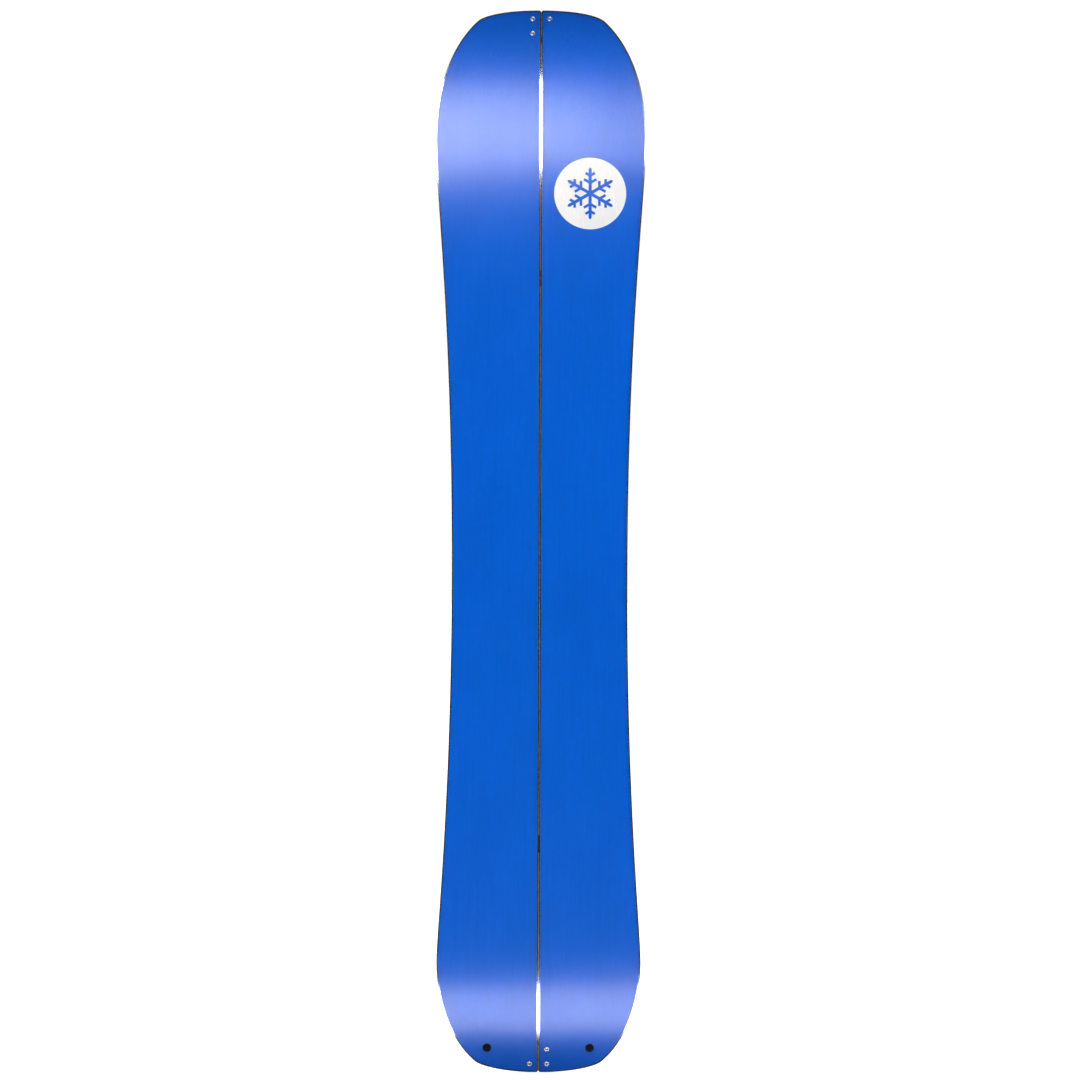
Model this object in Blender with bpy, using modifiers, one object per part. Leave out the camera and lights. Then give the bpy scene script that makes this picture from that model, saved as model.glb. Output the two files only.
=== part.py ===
"""Splitboard, 156 class: two ski-like halves joined along a steel-edged seam.

The board stands upright. +Z runs from tail to nose, X runs across the board, the base
(running surface) faces -Y and the topsheet faces +Y. The origin is on the floor line
under the middle of the bounding box.

Every lamination is drawn flat as a closed outline, given its thickness and its cut-outs
there, and then pressed onto the board's side profile: camber in the running length, a
rising nose and a rising tail. Screws, levers and hooks stay rigid and are seated in the
local frame of the surface that carries them.
"""

from math import atan2, cos, pi, radians, sin, sqrt, tan

import bmesh
import bpy
from mathutils import Matrix, Vector

MM = 0.001

# ---------------------------------------------------------------- plan shape
LENGTH = 1556 * MM              # tail end to nose end, measured straight
WAIST_HALF, WAIST_Z = 128 * MM, 728 * MM
NOSE_HALF, NOSE_REACH = 154.1 * MM, 193 * MM   # widest half-width, and how far it lies below the nose end
TAIL_HALF, TAIL_REACH = 148.9 * MM, 162 * MM
NOSE_SHOULDER = (93.6 * MM, 17.0 * MM)         # the blunt tip's shoulder: half-width, distance from the end
TAIL_SHOULDER = (92.6 * MM, 16.6 * MM)
NOSE_SHOULDER_DIR, TAIL_SHOULDER_DIR = 0.76, 0.72   # radians from straight across
SEAM_HALF = 0.3 * MM            # each half stops this far from the middle plane
SEAM_CORNER = 3.5 * MM          # radius of each half's corner at the seam

# ---------------------------------------------------------------- side profile
NOSE_BEND, TAIL_BEND = 1140 * MM, 212 * MM     # the rise to each tip starts here
TIP_ANGLE = radians(19)         # slope at the very ends
NOSE_CURL, TAIL_CURL = 1.32, 1.62              # slope grows with this power of the way to the end
CAMBER = 4 * MM

# ---------------------------------------------------------------- laminations
LAYER_GAP = 0.2 * MM            # bond line left open between laminations
SIDE_GAP = 0.25 * MM
BASE_T = 1.6 * MM
LAMINATE_T = 0.5 * MM
CORE_T = 5.6 * MM               # under the bindings
TIP_T = 1.6 * MM                # at nose and tail
TOPSHEET_T = 0.6 * MM
CORE_FULL = (310 * MM, 1185 * MM)    # the core keeps its full thickness between these
EDGE_W = 2.0 * MM
SIDEWALL_W = 8.0 * MM
INNER_SIDEWALL_W = 6.0 * MM
SHELL_INSET = 0.3 * MM          # sidewalls and skins stand in from the steel edge
NOSE_SPACER = 92 * MM           # length of the tip fill
TAIL_SPACER = 72 * MM

W_BASE = (0.0, BASE_T)
W_LOWER = (W_BASE[1] + LAYER_GAP, W_BASE[1] + LAYER_GAP + LAMINATE_T)
W_CORE = (W_LOWER[1] + LAYER_GAP, W_LOWER[1] + LAYER_GAP + CORE_T)
W_UPPER = (W_CORE[1] + LAYER_GAP, W_CORE[1] + LAYER_GAP + LAMINATE_T)
W_TOP = (W_UPPER[1] + LAYER_GAP, W_UPPER[1] + LAYER_GAP + TOPSHEET_T)
TIP_TOP = W_TOP[1] - CORE_T + TIP_T  # height of the topsheet's surface at nose and tail

# ---------------------------------------------------------------- fittings
CLIP_X, CLIP_END, CLIP_PITCH = 12.5 * MM, 12.5 * MM, 22 * MM
CLIP_REACH = 2 * CLIP_X         # lever pivot to catch post
CLIP_PARK = radians(70)         # open lever, turned back from the catch until it nests on its stop stud
TNUT_R, TNUT_BARREL_R, TNUT_BORE_R = 3.75 * MM, 2.9 * MM, 1.9 * MM
LEVER_T = 3.0 * MM
FOOT_R = 5.2 * MM
SOCKET_X, SOCKET_Z, SOCKET_R = 75 * MM, 36.5 * MM, 6.4 * MM
INLAY_X, INLAY_Z, INLAY_R = 72 * MM, 1284 * MM, 52.5 * MM
HOOK_Z = (334 * MM, 1160 * MM)
RAIL_X, RAIL_LEN, RAIL_W = 30 * MM, 220 * MM, 16 * MM
RAIL_Z = (470 * MM, 1020 * MM)
STRIP_X = 66 * MM
TOURING_Z, TOURING_PITCH, TOURING_COUNT = 800 * MM, 30 * MM, 3
HEEL_Z, HEEL_PITCH, HEEL_COUNT = 515 * MM, 40 * MM, 2
BOSS_R, BOSS_BORE_R = 4.5 * MM, 2.6 * MM

for old in list(bpy.data.objects):
    bpy.data.objects.remove(old, do_unlink=True)

PARTS = bpy.data.collections.new("splitboard")
CUTTERS = bpy.data.collections.new("cutters")
bpy.context.scene.collection.children.link(PARTS)
bpy.context.scene.collection.children.link(CUTTERS)
CUTTERS.hide_render = True


# ================================================================ materials
def material(name, colour, rough, metal=0.0):
    mat = bpy.data.materials.new(name)
    mat.use_nodes = True
    bsdf = mat.node_tree.nodes["Principled BSDF"]
    bsdf.inputs["Base Color"].default_value = (*colour, 1)
    bsdf.inputs["Roughness"].default_value = rough
    bsdf.inputs["Metallic"].default_value = metal
    return mat


LOOKS = {
    "base_sheet": ((0.004, 0.095, 0.60), 0.32, 0.0),
    "base_inlay": ((0.88, 0.88, 0.85), 0.35, 0.0),
    "edge": ((0.55, 0.56, 0.58), 0.22, 1.0),
    "laminate": ((0.62, 0.66, 0.52), 0.45, 0.0),
    "wood_core": ((0.62, 0.42, 0.22), 0.6, 0.0),
    "sidewall": ((0.03, 0.03, 0.035), 0.45, 0.0),
    "spacer": ((0.05, 0.05, 0.055), 0.5, 0.0),
    "topsheet": ((0.035, 0.045, 0.06), 0.35, 0.0),
    "rail": ((0.08, 0.08, 0.085), 0.4, 1.0),
    "insert": ((0.66, 0.66, 0.68), 0.3, 1.0),
    "hook": ((0.60, 0.60, 0.62), 0.28, 1.0),
    "screw": ((0.70, 0.70, 0.72), 0.25, 1.0),
    "lever": ((0.05, 0.05, 0.055), 0.35, 1.0),
    "socket": ((0.012, 0.012, 0.014), 0.4, 0.0),
}


# ================================================================ side profile
def smooth(t):
    t = min(max(t, 0.0), 1.0)
    return t * t * (3 - 2 * t)


def rise_angle(z):
    """Slope of the base, in radians: positive where it climbs towards the nose."""
    if z >= NOSE_BEND:
        return TIP_ANGLE * ((z - NOSE_BEND) / (LENGTH - NOSE_BEND)) ** NOSE_CURL
    if z <= TAIL_BEND:
        return -TIP_ANGLE * ((TAIL_BEND - z) / TAIL_BEND) ** TAIL_CURL
    span = NOSE_BEND - TAIL_BEND
    return CAMBER * pi / span * sin(2 * pi * (z - TAIL_BEND) / span)


def spaced(a, b, n):
    return [a + (b - a) * i / n for i in range(n)]


FACETS = (25 * MM, 48 * MM)     # flat facets up to here from each end carry the tip fittings
STATIONS = sorted(
    [-1 * MM, FACETS[0], *CORE_FULL]
    + spaced(FACETS[1], TAIL_BEND, 5)
    + spaced(TAIL_BEND, NOSE_BEND, 6)
    + spaced(NOSE_BEND, LENGTH - FACETS[1], 9)
    + [LENGTH - FACETS[1], LENGTH - FACETS[0], LENGTH + 1 * MM]
)


def profile_heights():
    """Height of the base at each station, integrated from the slope; 0 at the tail contact point."""
    heights = [0.0]
    for a, b in zip(STATIONS, STATIONS[1:]):
        steps = 40
        rise = sum(tan(rise_angle(a + (b - a) * (i + 0.5) / steps)) for i in range(steps)) * (b - a) / steps
        heights.append(heights[-1] + rise)
    contact = heights[STATIONS.index(TAIL_BEND)]
    return [h - contact for h in heights]


HEIGHTS = profile_heights()


def station_normals():
    normals = []
    for z in STATIONS:
        a = rise_angle(z)
        normals.append((cos(a), -sin(a)))
    return normals


NORMALS = station_normals()


def core_share(z):
    """Share of the full core thickness that is left at z."""
    if z > CORE_FULL[1]:
        t = smooth((z - CORE_FULL[1]) / (LENGTH - NOSE_SPACER - CORE_FULL[1]))
    elif z < CORE_FULL[0]:
        t = smooth((CORE_FULL[0] - z) / (CORE_FULL[0] - TAIL_SPACER))
    else:
        t = 0.0
    return (CORE_T + (TIP_T - CORE_T) * t) / CORE_T


SHARES = [core_share(z) for z in STATIONS]


def strip_of(z):
    for i in range(len(STATIONS) - 1):
        if z <= STATIONS[i + 1]:
            return i, (z - STATIONS[i]) / (STATIONS[i + 1] - STATIONS[i])
    return len(STATIONS) - 2, 1.0


def on_board(x, w, z):
    """Flat-blank point (x across, w up from the base, z along) to its place on the pressed board."""
    i, t = strip_of(z)
    share = SHARES[i] + (SHARES[i + 1] - SHARES[i]) * t
    if w > W_CORE[1]:
        w = w - CORE_T * (1 - share)
    elif w > W_CORE[0]:
        w = W_CORE[0] + (w - W_CORE[0]) * share
    ny = NORMALS[i][0] + (NORMALS[i + 1][0] - NORMALS[i][0]) * t
    nz = NORMALS[i][1] + (NORMALS[i + 1][1] - NORMALS[i][1]) * t
    y = HEIGHTS[i] + (HEIGHTS[i + 1] - HEIGHTS[i]) * t
    return Vector((x, y + w * ny, z + w * nz))


def seat(x, z, turn=0.0):
    """Frame on the base surface: X across, Z along the surface normal towards the topsheet."""
    i, t = strip_of(z)
    rise = atan2(HEIGHTS[i + 1] - HEIGHTS[i], STATIONS[i + 1] - STATIONS[i])
    across, normal = Vector((1, 0, 0)), Vector((0, cos(rise), -sin(rise)))
    down = normal.cross(across)
    frame = Matrix((across, down, normal)).transposed().to_4x4()
    frame.translation = (x, HEIGHTS[i] + (HEIGHTS[i + 1] - HEIGHTS[i]) * t, z)
    return frame @ Matrix.Rotation(turn, 4, "Z")


def top_height(z):
    """Height of the topsheet's surface above the base at z."""
    i, t = strip_of(z)
    share = SHARES[i] + (SHARES[i + 1] - SHARES[i]) * t
    return W_TOP[1] - CORE_T * (1 - share)


# ================================================================ plan outline
def bezier(p, t):
    a, b, c, d = (1 - t) ** 3, 3 * (1 - t) ** 2 * t, 3 * (1 - t) * t * t, t ** 3
    return Vector(tuple(a * p[0][k] + b * p[1][k] + c * p[2][k] + d * p[3][k] for k in (0, 1)))


def bezier_tangent(p, t):
    a, b, c = 3 * (1 - t) ** 2, 6 * (1 - t) * t, 3 * t * t
    return Vector(tuple(
        a * (p[1][k] - p[0][k]) + b * (p[2][k] - p[1][k]) + c * (p[3][k] - p[2][k]) for k in (0, 1)
    )).normalized()


def tip_segments(half, reach, shoulder, direction, handles):
    """From the middle of the end out to the widest point, with distance from the end as second value."""
    out = Vector((cos(direction), sin(direction)))
    corner = Vector(shoulder)
    across, into, beyond, side = handles
    return [
        [Vector((0, 0)), Vector((across, 0)), corner - out * into, corner],
        [corner, corner + out * beyond, Vector((half, reach - side)), Vector((half, reach))],
    ]


def outline_segments():
    tail = tip_segments(TAIL_HALF, TAIL_REACH, TAIL_SHOULDER, TAIL_SHOULDER_DIR,
                        (50.7 * MM, 11.0 * MM, 55.8 * MM, 46.0 * MM))
    nose = tip_segments(NOSE_HALF, NOSE_REACH, NOSE_SHOULDER, NOSE_SHOULDER_DIR,
                        (52.2 * MM, 13.8 * MM, 41.0 * MM, 92.0 * MM))
    nose_z = LENGTH - NOSE_REACH
    sidecut = [
        [Vector((TAIL_HALF, TAIL_REACH)), Vector((TAIL_HALF, TAIL_REACH + 48.9 * MM)),
         Vector((WAIST_HALF, WAIST_Z - 336 * MM)), Vector((WAIST_HALF, WAIST_Z))],
        [Vector((WAIST_HALF, WAIST_Z)), Vector((WAIST_HALF, WAIST_Z + 372 * MM)),
         Vector((NOSE_HALF, nose_z - 68.7 * MM)), Vector((NOSE_HALF, nose_z))],
    ]
    flipped = [[Vector((p[0], LENGTH - p[1])) for p in reversed(seg)] for seg in reversed(nose)]
    return tail + sidecut + flipped


SEGMENT_STEPS = (6, 7, 5, 6, 7, 6)


def outer_path(inset):
    """Points along the outer side of the right half, tail to nose, moved inwards by inset."""
    points = []
    for seg, steps in zip(outline_segments(), SEGMENT_STEPS):
        for i in range(steps):
            points.append((seg, i / steps))
    points.append((outline_segments()[-1], 1.0))
    moved = []
    for seg, t in points:
        p, d = bezier(seg, t), bezier_tangent(seg, t)
        moved.append(Vector((p.x - d.y * inset, p.y + d.x * inset)))
    return moved


def cut_at_x(points, x):
    """The run of points beyond x, with its two ends moved onto x."""
    keep = [i for i, p in enumerate(points) if p.x > x + 0.05 * MM]
    first, last = keep[0], keep[-1]
    ends = []
    for inner, outer in ((points[first - 1], points[first]), (points[last + 1], points[last])):
        t = (x - inner.x) / (outer.x - inner.x)
        ends.append(inner + (outer - inner) * t)
    return [ends[0]] + points[first:last + 1] + [ends[1]]


def cut_at_z(points, low, high):
    """The run of points with low < z < high, with its ends moved onto those heights."""
    keep = [i for i, p in enumerate(points) if low + 0.05 * MM < p.y < high - 0.05 * MM]
    first, last = keep[0], keep[-1]
    result = list(points[first:last + 1])
    for outside, inside, z, at_start in (
        (points[first - 1], points[first], low, True), (points[last + 1], points[last], high, False),
    ):
        t = (z - outside.y) / (inside.y - outside.y)
        p = outside + (inside - outside) * t
        result = [p] + result if at_start else result + [p]
    return result


def seam_arc(x, z, radius, end, steps=4):
    """Rounded corner between the seam line and the end of the board; end is -1 at the tail, +1 at the nose."""
    if radius <= 0:
        return [Vector((x, z))]
    centre = Vector((x + radius, z - end * radius))
    arc = [centre + radius * Vector((-cos(i * pi / 2 / steps), end * sin(i * pi / 2 / steps)))
           for i in range(steps + 1)]
    return arc if end > 0 else arc


def half_outline(inset, seam_inset):
    """Closed outline of one half: out from the seam corner at the tail, up the outer side, back down the seam."""
    x = SEAM_HALF + seam_inset
    radius = max(SEAM_CORNER - inset, 0.0)
    path = cut_at_x(outer_path(inset), x + radius)
    tail = seam_arc(x, path[0].y, radius, -1)
    nose = seam_arc(x, path[-1].y, radius, +1)
    return tail[:-1] + path + nose[:-1][::-1] if radius > 0 else path


def circle(x, z, r, n=16, start=0.0):
    return [Vector((x + r * cos(start + 2 * pi * i / n), z + r * sin(start + 2 * pi * i / n))) for i in range(n)]


def stadium(x, z, length, width, n=4):
    """Slot shape with round ends, its length along the board."""
    r, half = width / 2, (length - width) / 2
    up = [Vector((x + r * cos(pi * i / n), z + half + r * sin(pi * i / n))) for i in range(n + 1)]
    down = [Vector((x - r * cos(pi * i / n), z - half - r * sin(pi * i / n))) for i in range(n + 1)]
    return up + down


def rectangle(x0, x1, z0, z1):
    return [Vector((x0, z0)), Vector((x1, z0)), Vector((x1, z1)), Vector((x0, z1))]


def mirrored(loops, side):
    return [[Vector((p.x * side, p.y)) for p in loop] for loop in loops]


# ================================================================ mesh helpers
def finish(obj, look, parent=None, soft=None):
    """Give the object its material and its place in the parts collection."""
    for collection in list(obj.users_collection):
        collection.objects.unlink(obj)
    PARTS.objects.link(obj)
    obj.data.materials.clear()
    obj.data.materials.append(material(obj.name, *LOOKS[look]))
    if soft:
        obj.data.shade_smooth()
        obj.data.set_sharp_from_angle(angle=radians(soft))
    if parent:
        place = obj.matrix_world.copy()
        obj.parent = parent
        obj.matrix_parent_inverse = parent.matrix_world.inverted()
        obj.matrix_world = place
    return obj


def plate(name, loops, low, high, frame=None):
    """A flat outline with holes, given thickness between two heights. In the board's flat blank
    (frame None) the outline lies in X-Z and the height runs along Y; otherwise it lies in the
    frame's X-Y plane and the height runs along the frame's Z."""
    curve = bpy.data.curves.new(name, "CURVE")
    curve.dimensions, curve.fill_mode = "2D", "BOTH"
    curve.extrude = (high - low) / 2
    for loop in loops:
        spline = curve.splines.new("POLY")
        spline.points.add(len(loop) - 1)
        for point, p in zip(spline.points, loop):
            point.co = (p[0], p[1], 0, 1)
        spline.use_cyclic_u = True
    drawn = bpy.data.objects.new(name + "_outline", curve)
    bpy.context.scene.collection.objects.link(drawn)
    if frame is None:
        drawn.matrix_world = Matrix(((1, 0, 0, 0), (0, 0, -1, (low + high) / 2), (0, 1, 0, 0), (0, 0, 0, 1)))
    else:
        drawn.matrix_world = frame @ Matrix.Translation((0, 0, (low + high) / 2))
    bpy.context.view_layer.update()
    mesh = bpy.data.meshes.new_from_object(drawn.evaluated_get(bpy.context.evaluated_depsgraph_get()))
    mesh.name = name
    bm = bmesh.new()
    bm.from_mesh(mesh)
    bmesh.ops.remove_doubles(bm, verts=bm.verts, dist=0.00001)
    bmesh.ops.recalc_face_normals(bm, faces=bm.faces)
    bm.to_mesh(mesh)
    bm.free()
    solid = bpy.data.objects.new(name, mesh)
    solid.matrix_world = drawn.matrix_world
    bpy.context.scene.collection.objects.link(solid)
    bpy.data.objects.remove(drawn, do_unlink=True)
    bpy.data.curves.remove(curve)
    bpy.context.view_layer.update()
    return solid


def combine(obj, others, operation):
    """Boolean with each other object in turn, applied; the others are used up."""
    for other in others:
        modifier = obj.modifiers.new(operation.lower(), "BOOLEAN")
        modifier.operation, modifier.object = operation, other
        bpy.context.view_layer.update()
        mesh = bpy.data.meshes.new_from_object(obj.evaluated_get(bpy.context.evaluated_depsgraph_get()))
        obj.modifiers.clear()
        old, obj.data = obj.data, mesh
        mesh.name = obj.name
        bpy.data.meshes.remove(old)
        bpy.data.objects.remove(other, do_unlink=True)
    return obj


def press(obj):
    """Cut the flat blank at every station and move it onto the board's profile."""
    bm = bmesh.new()
    bm.from_mesh(obj.data)
    bmesh.ops.transform(bm, matrix=obj.matrix_world, verts=bm.verts)
    low, high = min(v.co.z for v in bm.verts), max(v.co.z for v in bm.verts)
    for z in STATIONS:
        if low + 0.01 * MM < z < high - 0.01 * MM:
            bmesh.ops.bisect_plane(bm, geom=bm.verts[:] + bm.edges[:] + bm.faces[:], dist=0.000002,
                                   plane_co=(0, 0, z), plane_no=(0, 0, 1))
    for face in bm.faces:
        face.material_index = strip_of(face.calc_center_median().z)[0]
    bmesh.ops.dissolve_limit(bm, angle_limit=radians(0.05), use_dissolve_boundaries=False,
                             verts=bm.verts, edges=bm.edges, delimit={"MATERIAL"})
    for face in bm.faces:
        face.material_index = 0
    bmesh.ops.triangulate(bm, faces=bm.faces, quad_method="BEAUTY", ngon_method="BEAUTY")
    for v in bm.verts:
        v.co = on_board(v.co.x, v.co.y, v.co.z)
    bmesh.ops.recalc_face_normals(bm, faces=bm.faces)
    bm.to_mesh(obj.data)
    bm.free()
    obj.matrix_world = Matrix.Identity(4)
    return obj


def turned(name, profile, frame, steps=16, closed=False):
    """Solid of revolution about the frame's Z: radius and height pairs, top to bottom down the outside."""
    bm = bmesh.new()
    verts = [bm.verts.new((r, 0, h)) for r, h in profile]
    for a, b in zip(verts, verts[1:]):
        bm.edges.new((a, b))
    if closed:
        bm.edges.new((verts[-1], verts[0]))
    mesh = bpy.data.meshes.new(name)
    bm.to_mesh(mesh)
    bm.free()
    obj = bpy.data.objects.new(name, mesh)
    obj.matrix_world = frame
    bpy.context.scene.collection.objects.link(obj)
    screw = obj.modifiers.new("turn", "SCREW")
    screw.axis, screw.angle = "Z", 2 * pi
    screw.steps = screw.render_steps = steps
    screw.use_merge_vertices, screw.merge_threshold = True, 0.00001
    screw.use_smooth_shade = False
    bpy.context.view_layer.update()
    return obj


# ================================================================ empties: the frame and the joints
def pivot(name, matrix, parent=None):
    empty = bpy.data.objects.new(name, None)
    empty.empty_display_size = 0.03
    PARTS.objects.link(empty)
    empty.matrix_world = matrix
    bpy.context.view_layer.update()
    if parent:
        empty.parent = parent
        empty.matrix_parent_inverse = parent.matrix_world.inverted()
        empty.matrix_world = matrix
        bpy.context.view_layer.update()
    return empty


BOARD = pivot("splitboard_frame", Matrix.Identity(4))
HALVES = {
    "right": pivot("right_half", Matrix.Identity(4), BOARD),
    "left": pivot("left_half_slide", Matrix.Identity(4), BOARD),
}
SIDES = {"right": 1, "left": -1}


# ================================================================ where the fasteners go through
def clip_holes(side_name):
    """Centres of the tip-clip T-nuts in one half, as positive x and z."""
    nose_outer, nose_inner = LENGTH - CLIP_END, LENGTH - CLIP_END - CLIP_PITCH
    tail_outer, tail_inner = CLIP_END, CLIP_END + CLIP_PITCH
    if side_name == "left":
        return [nose_outer, nose_inner, tail_outer]
    return [nose_outer, tail_outer, tail_inner]


HOOK_SCREWS = [(20 * MM, z + d) for z in HOOK_Z for d in (-8 * MM, 8 * MM)]


def through_holes(side_name, tnut_r, grow):
    loops = [circle(CLIP_X, z, tnut_r, 10) for z in clip_holes(side_name)]
    loops.append(circle(SOCKET_X, SOCKET_Z, SOCKET_R + grow, 14))
    return loops


def top_openings(grow):
    loops = [circle(x, z, 1.9 * MM + grow, 6) for x, z in HOOK_SCREWS]
    loops += [stadium(RAIL_X, z, RAIL_LEN + 2 * grow, RAIL_W + 2 * grow) for z in RAIL_Z]
    for z, pitch, count in ((TOURING_Z, TOURING_PITCH, TOURING_COUNT), (HEEL_Z, HEEL_PITCH, HEEL_COUNT)):
        loops += [circle(STRIP_X, z + (i - (count - 1) / 2) * pitch, BOSS_R + 0.1 * MM + grow, 10) for i in range(count)]
    return loops


# ================================================================ the two laminated halves
def build_half(name):
    side, parent = SIDES[name], HALVES[name]
    hole_gap = 0.3 * MM

    def layer(part, loops, span, look, cutters=()):
        obj = plate(f"{name}_{part}", mirrored(loops, side), *span)
        if cutters:
            combine(obj, [plate("cut", mirrored(c, side), *s) for c, s in cutters], "DIFFERENCE")
        return finish(press(obj), look, parent)

    # running base, between the steel edges
    base_inset = EDGE_W + SIDE_GAP
    base = [half_outline(base_inset, base_inset)] + through_holes(name, TNUT_R + hole_gap, hole_gap)
    if name == "right":
        base.append(circle(INLAY_X, INLAY_Z, INLAY_R + SIDE_GAP, 32))
    layer("base_sheet", base, W_BASE, "base_sheet")

    # steel edges: the outer one wraps nose and tail and stops against the straight seam edge
    x0, x1 = SEAM_HALF, SEAM_HALF + EDGE_W
    outside = half_outline(0.0, 0.0)
    low_z = min(p.y for p in outside) + SEAM_CORNER + SIDE_GAP
    high_z = max(p.y for p in outside) - SEAM_CORNER - SIDE_GAP
    run_out = [p for p in outside if p.x > x0 + 0.01 * MM or p.y < low_z or p.y > high_z]
    inside = half_outline(EDGE_W, EDGE_W)
    run_in = [p for p in inside if p.x > x1 + 0.01 * MM or p.y < low_z or p.y > high_z]
    layer("outer_edge", [run_out + run_in[::-1]], W_BASE, "edge")
    layer("inner_edge", [rectangle(x0, x1, low_z + SIDE_GAP, high_z - SIDE_GAP)], W_BASE, "edge")

    # glass-fibre skins and topsheet
    skin = half_outline(SHELL_INSET, 0.0)
    layer("lower_laminate", [skin] + through_holes(name, TNUT_BARREL_R + hole_gap, hole_gap), W_LOWER, "laminate")
    openings = through_holes(name, TNUT_BARREL_R + hole_gap, hole_gap) + top_openings(hole_gap)
    layer("upper_laminate", [skin] + openings, W_UPPER, "laminate")
    layer("topsheet", [half_outline(SHELL_INSET, 0.0)] + openings, W_TOP, "topsheet")

    # core frame: tip fill, sidewalls and the wood between them
    nose_z, tail_z = LENGTH - NOSE_SPACER, TAIL_SPACER
    low, high = tail_z + SIDE_GAP, nose_z - SIDE_GAP
    shell = outer_path(SHELL_INSET)
    wall = outer_path(SHELL_INSET + SIDEWALL_W)
    wood = outer_path(SHELL_INSET + SIDEWALL_W + SIDE_GAP)
    layer("outer_sidewall", [cut_at_z(shell, low, high) + cut_at_z(wall, low, high)[::-1]], W_CORE, "sidewall")
    layer("inner_sidewall", [rectangle(SEAM_HALF, SEAM_HALF + INNER_SIDEWALL_W, low, high)], W_CORE, "sidewall")
    pockets = [([stadium(RAIL_X, z, RAIL_LEN + 0.6 * MM, RAIL_W + 0.6 * MM)], (3.5 * MM, 20 * MM)) for z in RAIL_Z]
    pockets += [([circle(x, z, 2.1 * MM, 6)], (3.4 * MM, 20 * MM)) for x, z in HOOK_SCREWS]
    pockets += [([stadium(STRIP_X, z, (count - 1) * pitch + 26.6 * MM, 14.6 * MM)], (5.2 * MM, 20 * MM))
                for z, pitch, count in ((TOURING_Z, TOURING_PITCH, TOURING_COUNT), (HEEL_Z, HEEL_PITCH, HEEL_COUNT))]
    core = cut_at_z(wood, low, high) + [Vector((SEAM_HALF + INNER_SIDEWALL_W + SIDE_GAP, high)),
                                        Vector((SEAM_HALF + INNER_SIDEWALL_W + SIDE_GAP, low))]
    layer("wood_core", [core], W_CORE, "wood_core", pockets)
    full = half_outline(SHELL_INSET, 0.0)
    n = len(full)
    for part, keep, cut in (("nose_spacer", lambda p: p.y > nose_z, nose_z), ("tail_spacer", lambda p: p.y < tail_z, tail_z)):
        loop = []
        for i in range(n):
            a, b = full[i], full[(i + 1) % n]
            if keep(a):
                loop.append(a)
            if keep(a) != keep(b):
                t = (cut - a.y) / (b.y - a.y)
                loop.append(a + (b - a) * t)
        near = [h for h in through_holes(name, TNUT_BARREL_R + hole_gap, hole_gap) if keep(h[0])]
        layer(part, [loop] + near, W_CORE, "spacer")

    # T-slot rails for the bindings, let in from the top
    for place, z in zip(("rear", "front"), RAIL_Z):
        rail = plate(f"{name}_{place}_insert_rail", mirrored([stadium(RAIL_X, z, RAIL_LEN, RAIL_W)], side), 3.7 * MM, W_TOP[1])
        slot = plate("slot", mirrored([stadium(RAIL_X, z, RAIL_LEN - 8 * MM, 7 * MM)], side), 4.9 * MM, 20 * MM)
        way = plate("way", mirrored([stadium(RAIL_X, z, RAIL_LEN - 5 * MM, 11 * MM)], side), 4.9 * MM, 7.6 * MM)
        combine(rail, [slot, way], "DIFFERENCE")
        finish(press(rail), "rail", parent)

    # threaded insert strips, let in from the top, with bosses that come up flush with the topsheet
    for part, z, pitch, count in (("touring_insert_strip", TOURING_Z, TOURING_PITCH, TOURING_COUNT),
                                  ("heel_insert_strip", HEEL_Z, HEEL_PITCH, HEEL_COUNT)):
        strip = plate(f"{name}_{part}", mirrored([stadium(STRIP_X, z, (count - 1) * pitch + 26 * MM, 14 * MM)], side),
                      5.4 * MM, 7.9 * MM)
        at = [z + (i - (count - 1) / 2) * pitch for i in range(count)]
        combine(strip, [plate("boss", mirrored([circle(STRIP_X, c, BOSS_R, 10)], side), 6.5 * MM, W_TOP[1]) for c in at], "UNION")
        combine(strip, [plate("thread", mirrored([circle(STRIP_X, c, BOSS_BORE_R, 8)], side), 6.0 * MM, 20 * MM) for c in at],
                "DIFFERENCE")
        finish(press(strip), "insert", parent)


build_half("right")
build_half("left")

inlay = plate("base_inlay", [circle(INLAY_X, INLAY_Z, INLAY_R, 32)], *W_BASE)
finish(press(inlay), "base_inlay", HALVES["right"])


# ================================================================ tail sockets for the climbing skins
for name, side in SIDES.items():
    depth = TIP_TOP - 0.1 * MM
    profile = [(0, depth), (SOCKET_R, depth), (SOCKET_R, 0.1 * MM), (4.4 * MM, 0.1 * MM), (4.4 * MM, 4.2 * MM), (0, 4.2 * MM)]
    socket = turned(f"{name}_skin_socket", profile, seat(side * SOCKET_X, SOCKET_Z), 16)
    finish(socket, "socket", HALVES[name], 35)


# ================================================================ tip clips
def t_nut(name, x, z, parent):
    flange, floor, top = 0.8 * MM, 0.05 * MM, TIP_TOP - 0.3 * MM
    profile = [(TNUT_BORE_R, top), (TNUT_BARREL_R, top), (TNUT_BARREL_R, flange), (TNUT_R, flange),
               (TNUT_R, floor), (TNUT_BORE_R, floor)]
    finish(turned(name, profile, seat(x, z), 12, closed=True), "insert", parent, 35)


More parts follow.
